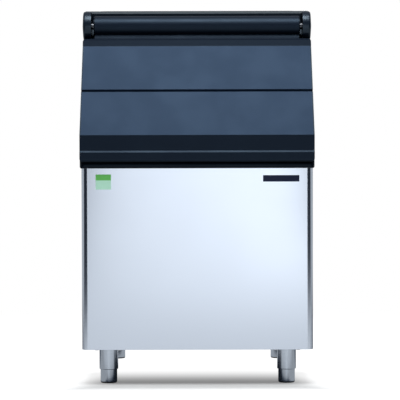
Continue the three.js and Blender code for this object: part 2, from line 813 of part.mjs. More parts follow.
// Tube with a threaded disc across it, which the foot's stem screws through.
function legSleeve() {
  const bore = sleeveRadius - sleeveWall;
  const thread = stemRadius + runningGap;
  return turned([
    [bore, sleeveBottom],
    [sleeveRadius - sleeveTaper, sleeveBottom],
    [sleeveRadius, sleeveBottom + sleeveTaperHeight],
    [sleeveRadius, sleeveTop],
    [bore, sleeveTop],
    [bore, nutBottom + nutThickness],
    [thread, nutBottom + nutThickness],
    [thread, nutBottom],
    [bore, nutBottom],
  ]);
}

// Barrel that slides in the sleeve, closed at its top under the threaded disc.
function footBarrel() {
  const top = nutBottom - seatGap;
  const bottom = padHeight + seatGap;
  return turned([
    [0, top - footWall],
    [footRadius - footWall, top - footWall],
    [footRadius - footWall, bottom],
    [footRadius, bottom],
    [footRadius, top],
    [stemRadius, top],
    [stemRadius, top + stemLength],
    [0, top + stemLength],
  ]);
}

function footPad() {
  const plug = footRadius - footWall - seatGap;
  return turned([
    [0, 0],
    [padRadius - padEdge, 0],
    [padRadius, padEdge],
    [padRadius, padHeight],
    [plug, padHeight],
    [plug, padHeight + padPlugHeight],
    [0, padHeight + padPlugHeight],
  ]);
}

// Drain pieces, drawn round the drain's own axis.
function drainTail() {
  const flangeBottom = sumpFloor + seatGap;
  return turned([
    [drainBore, -drainTailLength],
    [drainRadius, -drainTailLength],
    [drainRadius, flangeBottom],
    [drainFlangeRadius, flangeBottom],
    [drainFlangeRadius, flangeBottom + drainFlange],
    [drainBore, flangeBottom + drainFlange],
  ]);
}

function drainNut() {
  const top = basePanelBottom - seatGap;
  const block = bar(drainNutRadius, top - drainNutHeight, top, hexagonSides);
  return block.subtract(bar(drainRadius + seatGap, -overrun, overrun));
}

// Upturned cup with slots, standing on the drain's flange.
function drainStrainer() {
  const bottom = sumpFloor + seatGap * 2 + drainFlange;
  const top = bottom + strainerHeight;
  let cup = turned([
    [0, top - strainerWall],
    [strainerRadius - strainerWall, top - strainerWall],
    [strainerRadius - strainerWall, bottom],
    [strainerRadius, bottom],
    [strainerRadius, top, strainerWall],
    [0, top],
  ]);
  const slotOutline = rectangle(strainerSlot / 2, bottom + strainerFoot, top - strainerWall);
  const slot = slab(slotOutline, 0, strainerRadius * 2);
  for (let i = 0; i < strainerSlots; i += 1) {
    cup = cup.subtract(slot.rotate([0, 0, (fullTurn * i) / strainerSlots]));
  }
  return cup;
}

// Baffle pieces, drawn round the baffle's pivot axis.
function iceBaffle() {
  const half = baffleThickness / 2;
  const bottom = baffleTop - baffleHeight;
  const corners = [
    [-half, baffleTop],
    [-half, bottom, baffleThickness + half],
    [baffleLip, bottom],
    [baffleLip, bottom + baffleThickness],
    [half, bottom + baffleThickness, half],
    [half, baffleTop],
  ];
  const front = rectangle(baffleWidth / 2, bottom, baffleTop, baffleLip);
  let plate = prism(corners, baffleWidth).intersect(slab(front, -overrun, overrun));
  for (const share of baffleRibShares) {
    const middle = baffleTop - baffleHeight * share;
    const rib = [
      [0, middle - baffleRibWidth / 2],
      [half + baffleRib, middle - baffleRib / 2],
      [half + baffleRib, middle + baffleRib / 2],
      [0, middle + baffleRibWidth / 2],
    ];
    plate = plate.add(prism(rib, baffleWidth - baffleLip * 2));
  }
  const pinEnd = linerHalfWidth - seatGap * 2;
  const bossStart = baffleWidth / 2 - baffleBossLength;
  const boss = barAcross(baffleBossRadius, bossStart, baffleWidth / 2, smallSteps);
  const pivot = boss.add(barAcross(bafflePinRadius, bossStart, pinEnd, smallSteps));
  return plate.add(pivot).add(pivot.mirror([1, 0, 0]));
}

// Tab on the liner's right-hand wall that takes the baffle's pin.
function baffleBracket() {
  const outside = linerHalfWidth - seatGap;
  const half = baffleBracketWidth / 2;
  const corners = [
    [-half, -half, half * baffleBracketFootShare],
    [half, -half, half * baffleBracketFootShare],
    [half, baffleBracketHeight - half, half * baffleBracketHeadShare],
    [-half, baffleBracketHeight - half, half * baffleBracketHeadShare],
  ];
  const tab = prismBetween(corners, outside - baffleBracketThickness, outside);
  return tab.subtract(barAcross(bafflePinRadius + runningGap, 0, bodyWidth, smallSteps));
}

// Assembly
const bin = new THREE.Group();
bin.position.y = (lipReach - bodyDepth) / 2;

const body = new THREE.Group();
body.position.z = legHeight;
bin.add(body);

body.add(
  piece("outer_shell", outerShell(), finishes.stainless),
  piece("rear_panel", rearPanel(), finishes.galvanised),
  piece("base_panel", basePanel(), finishes.galvanised),
  piece("insulation_foam", insulationFoam(), finishes.foam),
  piece("ice_liner", iceLiner(), finishes.whitePlastic),
  piece("top_frame", topFrame(), finishes.blackPlastic),
  piece("machine_deck", machineDeck(), finishes.greyDeck),
  piece("deck_seal", deckSeal(), finishes.rubber),
);

body.add(
  piece("door_skin", doorSkin(), finishes.doorPlastic),
  piece("door_foam", doorFoam(), finishes.foam),
  piece("door_inner_panel", doorInnerPanel(), finishes.whitePlastic),
  piece("door_gasket", doorGasket(), finishes.rubber),
);

const drain = new THREE.Group();
drain.position.y = drainDepth;
drain.add(
  piece("drain_tail", drainTail(), finishes.whitePlastic),
  piece("drain_nut", drainNut(), finishes.whitePlastic),
  piece("drain_strainer", drainStrainer(), finishes.whitePlastic),
);
body.add(drain);

const bafflePivot = new THREE.Group();
const [pivotDepth, pivotHeight] = onSlope(baffleAlong, -ceilingDepth - baffleDrop);
bafflePivot.position.set(0, pivotDepth, pivotHeight);
bafflePivot.add(piece("ice_baffle", iceBaffle(), finishes.whitePlastic));
body.add(bafflePivot);

for (const [side, sign] of [["left", -1], ["right", 1]]) {
  const half = new THREE.Group();
  half.scale.x = sign;
  const turning = new THREE.Group();
  turning.position.set(0, hingeDepth, hingeHeight);
  turning.add(
    piece(`roll_plug_${side}`, rollPlug(), finishes.blackPlastic),
    piece(`hinge_bush_${side}`, hingeBush(), finishes.bearing),
    piece(`hinge_pin_${side}`, hingePin(), finishes.legSteel),
  );
  const pivot = new THREE.Group();
  pivot.position.copy(bafflePivot.position);
  pivot.add(piece(`baffle_bracket_${side}`, baffleBracket(), finishes.whitePlastic));
  const [lower, upper] = boltPlaces();
  half.add(
    turning,
    pivot,
    piece(`hinge_cap_${side}`, hingeCap(), finishes.blackPlastic),
    piece(`hinge_bracket_${side}`, hingeBracket(), finishes.galvanised),
    piece(`hinge_bolt_${side}_lower`, hingeBolt(lower), finishes.legSteel),
    piece(`hinge_bolt_${side}_upper`, hingeBolt(upper), finishes.legSteel),
  );
  body.add(half);
}

for (const [end, depth] of [["front", legEndInset], ["rear", bodyDepth - legEndInset]]) {
  for (const [side, sign] of [["left", -1], ["right", 1]]) {
    const leg = new THREE.Group();
    leg.position.set(sign * (bodyWidth / 2 - legSideInset), depth, 0);
    leg.add(
      piece(`leg_plate_${end}_${side}`, legPlate(), finishes.galvanised),
      piece(`leg_sleeve_${end}_${side}`, legSleeve(), finishes.legSteel),
      piece(`foot_barrel_${end}_${side}`, footBarrel(), finishes.legSteel),
      piece(`foot_pad_${end}_${side}`, footPad(), finishes.rubber),
    );
    bin.add(leg);
  }
}

export default bin;
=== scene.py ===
"""Slope-front ice storage bin: finishes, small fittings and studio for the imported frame."""

import json
import logging
import math
from collections.abc import Iterable, Sequence
from dataclasses import dataclass, field
from enum import Enum
from typing import NamedTuple

import bmesh
import bpy
from bpy.types import ID, Material, Mesh, Node, NodeSocket, NodeTree, Object, bpy_prop_collection
from mathutils import Matrix, Vector

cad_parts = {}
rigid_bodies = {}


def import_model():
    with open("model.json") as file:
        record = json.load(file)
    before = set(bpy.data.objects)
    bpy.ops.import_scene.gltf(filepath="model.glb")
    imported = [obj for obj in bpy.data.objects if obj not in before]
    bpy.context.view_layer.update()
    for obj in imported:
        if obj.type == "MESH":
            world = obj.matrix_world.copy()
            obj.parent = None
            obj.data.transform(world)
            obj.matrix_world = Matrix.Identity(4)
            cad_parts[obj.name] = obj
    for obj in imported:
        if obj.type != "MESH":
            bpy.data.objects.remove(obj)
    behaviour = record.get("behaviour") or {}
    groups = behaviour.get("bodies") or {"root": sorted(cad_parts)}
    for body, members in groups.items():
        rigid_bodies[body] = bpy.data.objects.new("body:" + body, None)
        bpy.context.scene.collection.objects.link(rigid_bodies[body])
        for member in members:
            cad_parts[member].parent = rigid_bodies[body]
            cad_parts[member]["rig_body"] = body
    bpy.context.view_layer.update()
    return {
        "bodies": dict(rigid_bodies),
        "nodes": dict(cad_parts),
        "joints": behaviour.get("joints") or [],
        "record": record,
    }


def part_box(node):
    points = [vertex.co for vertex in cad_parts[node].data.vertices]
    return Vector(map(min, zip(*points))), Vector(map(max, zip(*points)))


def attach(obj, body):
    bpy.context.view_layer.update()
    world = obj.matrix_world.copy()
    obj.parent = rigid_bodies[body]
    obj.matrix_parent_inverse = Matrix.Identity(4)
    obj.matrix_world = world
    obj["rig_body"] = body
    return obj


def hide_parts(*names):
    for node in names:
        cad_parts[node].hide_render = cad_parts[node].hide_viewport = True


log = logging.getLogger("ice_bin")

MM = 0.001
WELD_DISTANCE = 0.02 * MM
FLAT_ANGLE = math.radians(0.4)
SHARP_ANGLE = math.radians(32)
ROUNDING_SEGMENTS = 2
SIDES = ("left", "right")
ENDS = ("front", "rear")

# The door's sloped face: the middle of its foot, and how far it runs back and up from there.
SLOPE_FOOT = Vector((0.0, -428.0 * MM, 816.3 * MM))
SLOPE_RUN = 197 * MM
SLOPE_RISE = 296 * MM
SLOPE_LENGTH = math.hypot(SLOPE_RUN, SLOPE_RISE)
SLOPE_LEAN = math.atan2(SLOPE_RUN, SLOPE_RISE)
ALONG_SLOPE = Vector((0.0, math.sin(SLOPE_LEAN), math.cos(SLOPE_LEAN)))
OUT_OF_SLOPE = Vector((0.0, -math.cos(SLOPE_LEAN), math.sin(SLOPE_LEAN)))

BRIGHTEST_VALUE = 255
SRGB_KNEE = 0.04045
SRGB_SLOPE = 12.92
SRGB_OFFSET = 0.055
SRGB_POWER = 2.4

Pair = tuple[float, float]
Triple = tuple[float, float, float]
Colour = tuple[float, float, float, float]
WHITE_LIGHT: Colour = (1.0, 1.0, 1.0, 1.0)


def linear(value: int) -> float:
    """Turns one channel of a picture's colour into the linear one that shaders take.

    Args:
        value: The channel in the picture, 0 to 255.

    Returns:
        The linear channel, 0 to 1.
    """
    share = value / BRIGHTEST_VALUE
    if share <= SRGB_KNEE:
        return share / SRGB_SLOPE
    return ((share + SRGB_OFFSET) / (1 + SRGB_OFFSET)) ** SRGB_POWER


def shade(red: int, green: int, blue: int) -> Colour:
    """Turns a colour as a picture shows it into a linear one."""
    return (linear(red), linear(green), linear(blue), 1.0)


def scaled(colour: Colour, share: float) -> Colour:
    """Gives a colour at a share of its brightness."""
    return (*(channel * share for channel in colour[:3]), 1.0)


class Body(Enum):
    """The rigid bodies that the scene's own pieces ride on."""

    CABINET = "cabinet"
    DOOR = "door"


class Slot(Enum):
    """The record's material slots."""

    STAINLESS = "stainless"
    GALVANISED = "galvanised"
    LEG_STEEL = "leg_steel"
    DOOR_PLASTIC = "door_plastic"
    BLACK_PLASTIC = "black_plastic"
    WHITE_PLASTIC = "white_plastic"
    GREY_DECK = "grey_deck"
    FOAM = "foam"
    RUBBER = "rubber"
    BEARING = "bearing"


class Rounding(Enum):
    """How far each kind of edge is rounded."""

    NONE = 0.0
    TURNED = 0.2 * MM
    SHEET = 0.3 * MM
    TRIMMED = 0.4 * MM
    MOULDED = 0.5 * MM
    RUBBER = 0.6 * MM


class Way(Enum):
    """The way a fastener's head faces."""

    UP = (0.0, 0.0, 0.0)
    DOWN = (math.pi, 0.0, 0.0)
    BACK = (-math.pi / 2, 0.0, 0.0)


class Step(NamedTuple):
    """A smooth change of level while what drives it goes from one value to another."""

    start: float
    end: float
    low: float
    high: float


class Tree:
    """A node tree under construction."""

    def __init__(self, tree: NodeTree) -> None:
        """Starts from an empty tree."""
        self.tree = tree
        self.tree.nodes.clear()

    def add(self, kind: str, inputs: dict | None = None, **settings: object) -> Node:
        """Adds a node.

        Args:
            kind: The node's type name.
            inputs: Values or sockets for its inputs, by name or number.
            **settings: Values for its properties.

        Returns:
            The new node.
        """
        node = self.tree.nodes.new(kind)
        for name, value in settings.items():
            setattr(node, name, value)
        for key, value in (inputs or {}).items():
            if isinstance(value, NodeSocket):
                self.link(value, node.inputs[key])
            else:
                node.inputs[key].default_value = value
        return node

    def link(self, source: NodeSocket, target: NodeSocket) -> None:
        """Links an output to an input."""
        self.tree.links.new(source, target)

    def group(self, group: NodeTree, inputs: dict) -> bpy_prop_collection:
        """Places a shared group with its own values and returns its outputs."""
        return self.add("ShaderNodeGroup", inputs, node_tree=group).outputs

    def place(self) -> NodeSocket:
        """Adds the place on the object."""
        return self.add("ShaderNodeTexCoord").outputs["Object"]

    def parts(self, vector: object) -> bpy_prop_collection:
        """Splits a vector into its X, Y and Z outputs."""
        return self.add("ShaderNodeSeparateXYZ", {0: vector}).outputs

    def math(self, operation: str, *values: object) -> NodeSocket:
        """Adds a Math node and returns its output."""
        return self.add("ShaderNodeMath", dict(enumerate(values)), operation=operation).outputs[0]

    def vector(self, operation: str, *values: object) -> NodeSocket:
        """Adds a Vector Math node and returns the output that its operation fills."""
        node = self.add("ShaderNodeVectorMath", dict(enumerate(values)), operation=operation)
        return node.outputs["Value" if operation in ("DOT_PRODUCT", "LENGTH") else "Vector"]

    def level(self, share: object, low: object, high: object) -> NodeSocket:
        """Adds a straight change from one level to another while a share goes from 0 to 1."""
        return self.add("ShaderNodeMapRange", {"Value": share, "To Min": low, "To Max": high}).outputs[0]

    def ramp(self, value: object, start: object, end: object, low: object, high: object) -> NodeSocket:
        """Adds a smooth step from one level to another.

        Args:
            value: The socket that drives it.
            start: Where the step begins.
            end: Where the step ends.
            low: The level before the step.
            high: The level after it.

        Returns:
            The stepped level.
        """
        inputs = {"Value": value, "From Min": start, "From Max": end, "To Min": low, "To Max": high}
        return self.add("ShaderNodeMapRange", inputs, interpolation_type="SMOOTHSTEP").outputs[0]

    def blend(self, factor: object, first: object, second: object) -> NodeSocket:
        """Adds a mix of two colours. Its colour sockets are reached by number."""
        return self.add("ShaderNodeMix", {0: factor, 6: first, 7: second}, data_type="RGBA").outputs[2]


def placed(name: str, data: ID) -> Object:
    """Puts a new object in the scene.

    Args:
        name: Its name.
        data: Its mesh, light or camera.

    Returns:
        The object.
    """
    made = bpy.data.objects.new(name, data)
    bpy.context.scene.collection.objects.link(made)
    return made


def new_material(name: str) -> tuple[Material, Tree]:
    """Starts a material.

    Args:
        name: Its name.

    Returns:
        The material and its empty tree.
    """
    material = bpy.data.materials.new(name)
    material.use_nodes = True
    return material, Tree(material.node_tree)


def new_group(name: str, inputs: dict[str, float | None], outputs: Iterable[str]) -> tuple[Tree, Node]:
    """Starts a shader node group with number outputs.

    Args:
        name: The group's name.
        inputs: Its inputs by name, each with a number's default value, or with None for a vector.
        outputs: Names of its outputs.

    Returns:
        The tree and its input node.
    """
    group = bpy.data.node_groups.new(name, "ShaderNodeTree")
    for label, value in inputs.items():
        kind = "NodeSocketVector" if value is None else "NodeSocketFloat"
        socket = group.interface.new_socket(label, in_out="INPUT", socket_type=kind)
        if value is not None:
            socket.default_value = value
    for label in outputs:
        group.interface.new_socket(label, in_out="OUTPUT", socket_type="NodeSocketFloat")
    tree = Tree(group)
    return tree, tree.add("NodeGroupInput")


@dataclass
class Textures:
    """Shader node groups that several finishes share, each built once."""

    noise_middle: float = 0.5
    grain_detail: float = 3.0
    grain_roughness: float = 0.6
    line_detail: float = 2.0
    patch_detail: float = 2.0
    patch_step: Step = Step(0.3, 0.7, 0.0, 1.0)

    def __post_init__(self) -> None:
        """Builds every group."""
        self.grain = self._grain()
        self.brushed = self._brushed()
        self.patches = self._patches()

    def _grain(self) -> NodeTree:
        """Builds fine moulded or cast grain, with its size in millimetres.

        Returns:
            The group: Height for a bump, Mask for colour.
        """
        tree, start = new_group("Moulded grain", {"Size": 2.0, "Contrast": 0.5}, ("Height", "Mask"))
        scale = tree.math("DIVIDE", 1 / MM, start.outputs["Size"])
        inputs = {"Scale": scale, "Detail": self.grain_detail, "Roughness": self.grain_roughness}
        noise = tree.add("ShaderNodeTexNoise", {"Vector": tree.place(), **inputs}).outputs[0]
        reach = tree.math("MULTIPLY", start.outputs["Contrast"], 0.5)
        low = tree.math("SUBTRACT", self.noise_middle, reach)
        high = tree.math("ADD", self.noise_middle, reach)
        mask = tree.add("ShaderNodeMapRange", {"Value": noise, "From Min": low, "From Max": high})
        tree.add("NodeGroupOutput", {"Height": noise, "Mask": mask.outputs[0]})
        return tree.tree

    def _brushed(self) -> NodeTree:
        """Builds fine lines that run across the width, as a polishing belt leaves them.

        Returns:
            The group: Height for a bump, Mask for colour.
        """
        tree, start = new_group("Brushed lines", {"Length": 120.0, "Width": 0.5}, ("Height", "Mask"))
        along = tree.math("DIVIDE", 1 / MM, start.outputs["Length"])
        across = tree.math("DIVIDE", 1 / MM, start.outputs["Width"])
        stretch = tree.add("ShaderNodeCombineXYZ", {0: along, 1: along, 2: across}).outputs[0]
        lines = tree.vector("MULTIPLY", tree.place(), stretch)
        inputs = {"Vector": lines, "Scale": 1.0, "Detail": self.line_detail}
        noise = tree.add("ShaderNodeTexNoise", inputs).outputs[0]
        tree.add("NodeGroupOutput", {"Height": noise, "Mask": noise})
        return tree.tree

    def _patches(self) -> NodeTree:
        """Builds broad, soft patches, as handling and cleaning leave them.

        Returns:
            The group: Mask from 0 to 1.
        """
        tree, start = new_group("Cleaning marks", {"Size": 150.0}, ("Mask",))
        scale = tree.math("DIVIDE", 1 / MM, start.outputs["Size"])
        inputs = {"Vector": tree.place(), "Scale": scale, "Detail": self.patch_detail}
        noise = tree.add("ShaderNodeTexNoise", inputs).outputs[0]
        tree.add("NodeGroupOutput", {"Mask": tree.ramp(noise, *self.patch_step)})
        return tree.tree


@dataclass(frozen=True)
class Finish:
    """A surface with fine texture, soft patches in its gloss and a slight change of tone."""

    name: str
    slot: Slot
    colour: Colour
    tone: float = 0.9
    metallic: float = 0.0
    roughness: float = 0.45
    roughness_spread: float = 0.08
    patch_mm: float = 160.0
    grain_mm: float = 2.0
    grain_contrast: float = 0.5
    bump_mm: float = 0.05
    specular: float = 0.5
    tint: Colour = WHITE_LIGHT

    def texture(self, tree: Tree, textures: Textures) -> bpy_prop_collection:
        """Adds moulded grain and returns its Height and Mask."""
        return tree.group(textures.grain, {"Size": self.grain_mm, "Contrast": self.grain_contrast})

    def toned(self, tree: Tree, mask: NodeSocket, colour: Colour) -> NodeSocket:
        """Varies a colour with the fine texture."""
        return tree.blend(mask, scaled(colour, self.tone), colour)

    def varied(self, tree: Tree, textures: Textures, fine: bpy_prop_collection) -> dict:
        """Adds what varies over the surface.

        Args:
            tree: The material's tree.
            textures: The shared groups.
            fine: Height and Mask of the fine texture.

        Returns:
            Sockets for the shader's inputs by name, and for Height where it isn't the texture's own.
        """
        patches = tree.group(textures.patches, {"Size": self.patch_mm})["Mask"]
        half = self.roughness_spread / 2
        return {
            "Base Color": self.toned(tree, fine["Mask"], self.colour),
            "Roughness": tree.level(patches, self.roughness - half, self.roughness + half),
        }

    def material(self, textures: Textures) -> Material:
        """Builds the finish.

        Args:
            textures: The shared groups.

        Returns:
            The finished material.
        """
        material, tree = new_material(self.name)
        constants = {
            "Base Color": self.colour, "Metallic": self.metallic, "Roughness": self.roughness,
            "Specular IOR Level": self.specular, "Specular Tint": self.tint,
        }
        shader = tree.add("ShaderNodeBsdfPrincipled", constants)
        tree.add("ShaderNodeOutputMaterial", {"Surface": shader.outputs[0]})
        fine = self.texture(tree, textures)
        varied = self.varied(tree, textures, fine)
        height = varied.pop("Height", fine["Height"])
        relief = {"Height": height, "Strength": 1.0, "Distance": self.bump_mm * MM}
        bump = tree.add("ShaderNodeBump", relief)
        for name, socket in {**varied, "Normal": bump.outputs[0]}.items():
            tree.link(socket, shader.inputs[name])
        return material


@dataclass(frozen=True)
class BrushedMetal(Finish):
    """Metal with fine polishing lines in place of grain."""

    line_mm: float = 160.0
    line_width_mm: float = 0.6

    def texture(self, tree: Tree, textures: Textures) -> bpy_prop_collection:
        """Adds polishing lines and returns their Height and Mask."""
        return tree.group(textures.brushed, {"Length": self.line_mm, "Width": self.line_width_mm})


@dataclass(frozen=True)
class GrainedSlope(Finish):
    """A dark, smooth moulding whose sloped face is grained and duller, and paler partly for its grain
    and partly as painted light from above.
    """

    grained_and_lit_colour: Colour = (0.05, 0.08, 0.13, 1.0)
    grained_roughness: float = 0.5
    worn_share: float = 0.5
    worn_tone: float = 0.8
    smooth_relief: float = 0.15
    margin: float = 1.5 * MM
    depth: float = 1.2 * MM
    groove_middle: float = 175.5 * MM
    groove_half_width: float = 6 * MM
    groove_depth: float = 10 * MM
    half_width: float = 377.5 * MM
    ridge_levels: Pair = (1112 * MM, 1115 * MM)
    # Painted shade: the ridge and neck under the roll reflect less of the lamps.
    ridge_shade_specular: float = 0.2
    neck_foot: float = 1133 * MM
    neck_middle: float = 1143 * MM
    neck_top: float = 1150 * MM
    neck_shade_specular: Pair = (0.07, 0.16)

    def grained_and_lit_share(self, tree: Tree) -> NodeSocket:
        """Finds the sloped face by its place on the moulding.

        Args:
            tree: The material's tree.

        Returns:
            1 on the sloped face and in its groove, and 0 elsewhere.
        """
        place = tree.place()
        offset = tree.vector("SUBTRACT", place, SLOPE_FOOT)
        up = tree.vector("DOT_PRODUCT", offset, ALONG_SLOPE)
        out = tree.vector("DOT_PRODUCT", offset, OUT_OF_SLOPE)
        above = tree.ramp(up, 0.0, self.margin, 0.0, 1.0)
        below = tree.ramp(up, SLOPE_LENGTH - self.margin, SLOPE_LENGTH, 1.0, 0.0)
        from_groove = tree.math("ABSOLUTE", tree.math("SUBTRACT", up, self.groove_middle))
        in_groove = tree.math("LESS_THAN", from_groove, self.groove_half_width)
        depth = tree.level(in_groove, self.depth, self.groove_depth)
        near = tree.math("GREATER_THAN", tree.math("ADD", out, depth), 0.0)
        aside = tree.math("ABSOLUTE", tree.parts(place)["X"])
        between = tree.ramp(aside, self.half_width - self.margin, self.half_width, 1.0, 0.0)
        lengthwise = tree.math("MULTIPLY", above, below)
        return tree.math("MULTIPLY", lengthwise, tree.math("MULTIPLY", near, between))

    def shaded_gloss(self, tree: Tree) -> NodeSocket:
        """Dulls the ridge and the neck under the roll as painted shade, where the roll shades them.

        Args:
            tree: The material's tree.

        Returns:
            The specular level, which is this finish's own below the ridge and on the roll.
        """
        height = tree.parts(tree.place())["Z"]
        middle = self.neck_middle
        neck = tree.ramp(height, middle - self.margin, middle + self.margin, *self.neck_shade_specular)
        ridge = tree.ramp(height, *self.ridge_levels, self.specular, self.ridge_shade_specular)
        below_roll = tree.level(tree.math("GREATER_THAN", height, self.neck_foot), ridge, neck)
        return tree.level(tree.math("GREATER_THAN", height, self.neck_top), below_roll, self.specular)

    def varied(self, tree: Tree, textures: Textures, fine: bpy_prop_collection) -> dict:
        """Adds the grained face with its painted light, its worn patches, and the ridge and neck dulled
        as painted shade.

        Args:
            tree: The material's tree.
            textures: The shared groups.
            fine: Height and Mask of the fine texture.

        Returns:
            Sockets for the shader's inputs by name, and for Height.
        """
        share = self.grained_and_lit_share(tree)
        patches = tree.group(textures.patches, {"Size": self.patch_mm})["Mask"]
        smooth = self.toned(tree, fine["Mask"], self.colour)
        grained_and_lit_colour = self.toned(tree, fine["Mask"], self.grained_and_lit_colour)
        worn = tree.math("MULTIPLY", patches, self.worn_share)
        grained_and_lit_colour = tree.blend(worn, grained_and_lit_colour, scaled(self.grained_and_lit_colour, self.worn_tone))
        roughness = tree.level(share, self.roughness, self.grained_roughness)
        spread = tree.math("MULTIPLY", patches, self.roughness_spread)
        relief = tree.ramp(share, 0.0, 1.0, self.smooth_relief, 1.0)
        return {
            "Base Color": tree.blend(share, smooth, grained_and_lit_colour),
            "Roughness": tree.math("ADD", roughness, spread),
            "Specular IOR Level": self.shaded_gloss(tree),
            "Height": tree.math("MULTIPLY", fine["Height"], relief),
        }


@dataclass(frozen=True)
class TwoTone(Finish):
    """A plain printed label, one colour above a level and another below it."""

    upper: Colour = (0.1, 0.3, 0.1, 1.0)
    level: float = 0.0

    def varied(self, tree: Tree, textures: Textures, fine: bpy_prop_collection) -> dict:
        """Adds the change of colour.

        Args:
            tree: The material's tree.
            textures: The shared groups; not used.
            fine: Height and Mask of the fine texture.

        Returns:
            The socket for the shader's colour.
        """
        above = tree.math("GREATER_THAN", tree.parts(tree.place())["Z"], self.level)
        lower = self.toned(tree, fine["Mask"], self.colour)
        return {"Base Color": tree.blend(above, lower, self.upper)}


STAINLESS = BrushedMetal(
    "Satin stainless", Slot.STAINLESS, (0.76, 0.79, 0.855, 1.0), tone=0.97, metallic=1.0,
    roughness=0.165, roughness_spread=0.02, patch_mm=260.0, bump_mm=0.003,
)
ZINC = Finish(
    "Zinc-coated sheet", Slot.GALVANISED, (0.62, 0.65, 0.66, 1.0), tone=0.78, metallic=1.0,
    roughness=0.42, roughness_spread=0.1, grain_mm=14.0, grain_contrast=0.35, bump_mm=0.01,
)
# Painted shade: the hinge brackets are darkened to stand for the shade in the gap between roll and cap.
SHADED_ZINC = Finish(
    "Black-passivated zinc", Slot.GALVANISED, (0.07, 0.075, 0.08, 1.0), tone=0.8, metallic=1.0,
    roughness=0.45, roughness_spread=0.08, grain_mm=6.0, grain_contrast=0.35, bump_mm=0.01,
)
TUBE = BrushedMetal(
    "Leg steel", Slot.LEG_STEEL, (0.62, 0.65, 0.70, 1.0), tone=0.94, metallic=1.0, roughness=0.17,
    roughness_spread=0.06, line_mm=60.0, bump_mm=0.004,
)
# Painted shade: the hinge pins and bolts are darkened to stand for the shade in the gap between roll and
# cap, leaving only a small glint.
SHADED_PIN_STEEL = BrushedMetal(
    "Oiled pin steel", Slot.LEG_STEEL, (0.12, 0.125, 0.135, 1.0), tone=0.9, metallic=1.0,
    roughness=0.3, roughness_spread=0.06, line_mm=20.0, bump_mm=0.003,
)
# The sloped face's paler colour is partly its grain and partly painted light from above.
SLATE = GrainedSlope(
    "Slate moulding", Slot.DOOR_PLASTIC, shade(12, 18, 30), tone=0.88, roughness=0.41,
    roughness_spread=0.05, patch_mm=90.0, grain_mm=2.4, grain_contrast=0.4, bump_mm=0.1,
    specular=0.31, tint=(0.5, 0.74, 1.0, 1.0), grained_and_lit_colour=shade(39, 54, 76), grained_roughness=0.58,
)
BLACK = Finish(
    "Black moulding", Slot.BLACK_PLASTIC, shade(5, 11, 20), tone=0.85, roughness=0.26,
    roughness_spread=0.06, grain_mm=1.2, bump_mm=0.03, specular=0.16, tint=(0.6, 0.8, 1.0, 1.0),
)
# The caps are a lighter, glossier copy of the black moulding: partly painted light where the caps catch
# the lamps, while the black moulding sits in shade.
CAP = Finish(
    "Cap moulding", Slot.BLACK_PLASTIC, shade(14, 22, 33), tone=0.9, roughness=0.31,
    roughness_spread=0.05, grain_mm=1.6, bump_mm=0.03, specular=0.48, tint=(0.66, 0.84, 1.0, 1.0),
)
WHITE = Finish(
    "White liner", Slot.WHITE_PLASTIC, shade(232, 236, 237), tone=0.985, roughness=0.32,
    grain_mm=9.0, bump_mm=0.03,
)
DECK = Finish("Grey deck paint", Slot.GREY_DECK, shade(95, 103, 109), roughness=0.55, grain_mm=1.6)
FOAM = Finish(
    "Rigid foam", Slot.FOAM, shade(222, 205, 158), tone=0.75, roughness=0.9, grain_mm=3.0,
    grain_contrast=0.3, bump_mm=0.4,
)
RUBBER = Finish(
    "Black rubber", Slot.RUBBER, shade(30, 31, 34), tone=0.8, roughness=0.75, grain_mm=1.0,
)
NYLON = Finish(
    "Bearing nylon", Slot.BEARING, shade(214, 211, 202), tone=0.95, roughness=0.4, grain_mm=4.0,
    bump_mm=0.02,
)
PLATE = Finish(
    "Bare name plate", Slot.BLACK_PLASTIC, shade(22, 30, 58), tone=0.85, roughness=0.35,
    grain_mm=0.8, bump_mm=0.01, specular=0.2,
)
LABEL = TwoTone(
    "Plain label", Slot.WHITE_PLASTIC, shade(192, 241, 217), tone=0.97, roughness=0.3, grain_mm=3.0,
    bump_mm=0.01, specular=0.2, upper=shade(108, 196, 98), level=669.6 * MM,
)


def written(work: bmesh.types.BMesh, mesh: Mesh) -> Mesh:
    """Writes out a worked mesh, smooth but for the edges where its surface turns hard.

    Args:
        work: The mesh being worked on, which is freed.
        mesh: Where it goes.

    Returns:
        The written mesh.
    """
    for face in work.faces:
        face.smooth = True
    for edge in work.edges:
        edge.smooth = not (edge.is_manifold and edge.calc_face_angle(0.0) > SHARP_ANGLE)
    work.to_mesh(mesh)
    work.free()
    return mesh


def rounded_rectangle(width: float, height: float, radius: float, steps: int = 6) -> list[Pair]:
    """Traces a rectangle with rounded corners round its own middle.

    Args:
        width: Its width.
        height: Its height.
        radius: The radius of its corners.
        steps: Steps in each corner.

    Returns:
        Its points, turning left.
    """
    points = []
    for turn, (side, level) in enumerate(((1, 1), (-1, 1), (-1, -1), (1, -1))):
        for step in range(steps + 1):
            angle = math.pi / 2 * (turn + step / steps)
            across = side * (width / 2 - radius) + radius * math.cos(angle)
            up = level * (height / 2 - radius) + radius * math.sin(angle)
            points.append((across, up))
    return points


def plate_mesh(name: str, outline: Sequence[Pair], centre: Vector, thickness: float) -> Mesh:
    """Makes a flat plate that faces the front.

    Args:
        name: The mesh's name.
        outline: Width and height of its points round its middle.
        centre: The middle of its rear face.
        thickness: How far it stands forward.

    Returns:
        The mesh.
    """
    work = bmesh.new()
    corners = [work.verts.new(centre + Vector((across, 0, up))) for across, up in outline]
    grown = bmesh.ops.extrude_face_region(work, geom=[work.faces.new(corners)])
    moved = [item for item in grown["geom"] if isinstance(item, bmesh.types.BMVert)]
    bmesh.ops.translate(work, verts=moved, vec=Vector((0, -thickness, 0)))
    bmesh.ops.recalc_face_normals(work, faces=work.faces)
    return written(work, bpy.data.meshes.new(name))


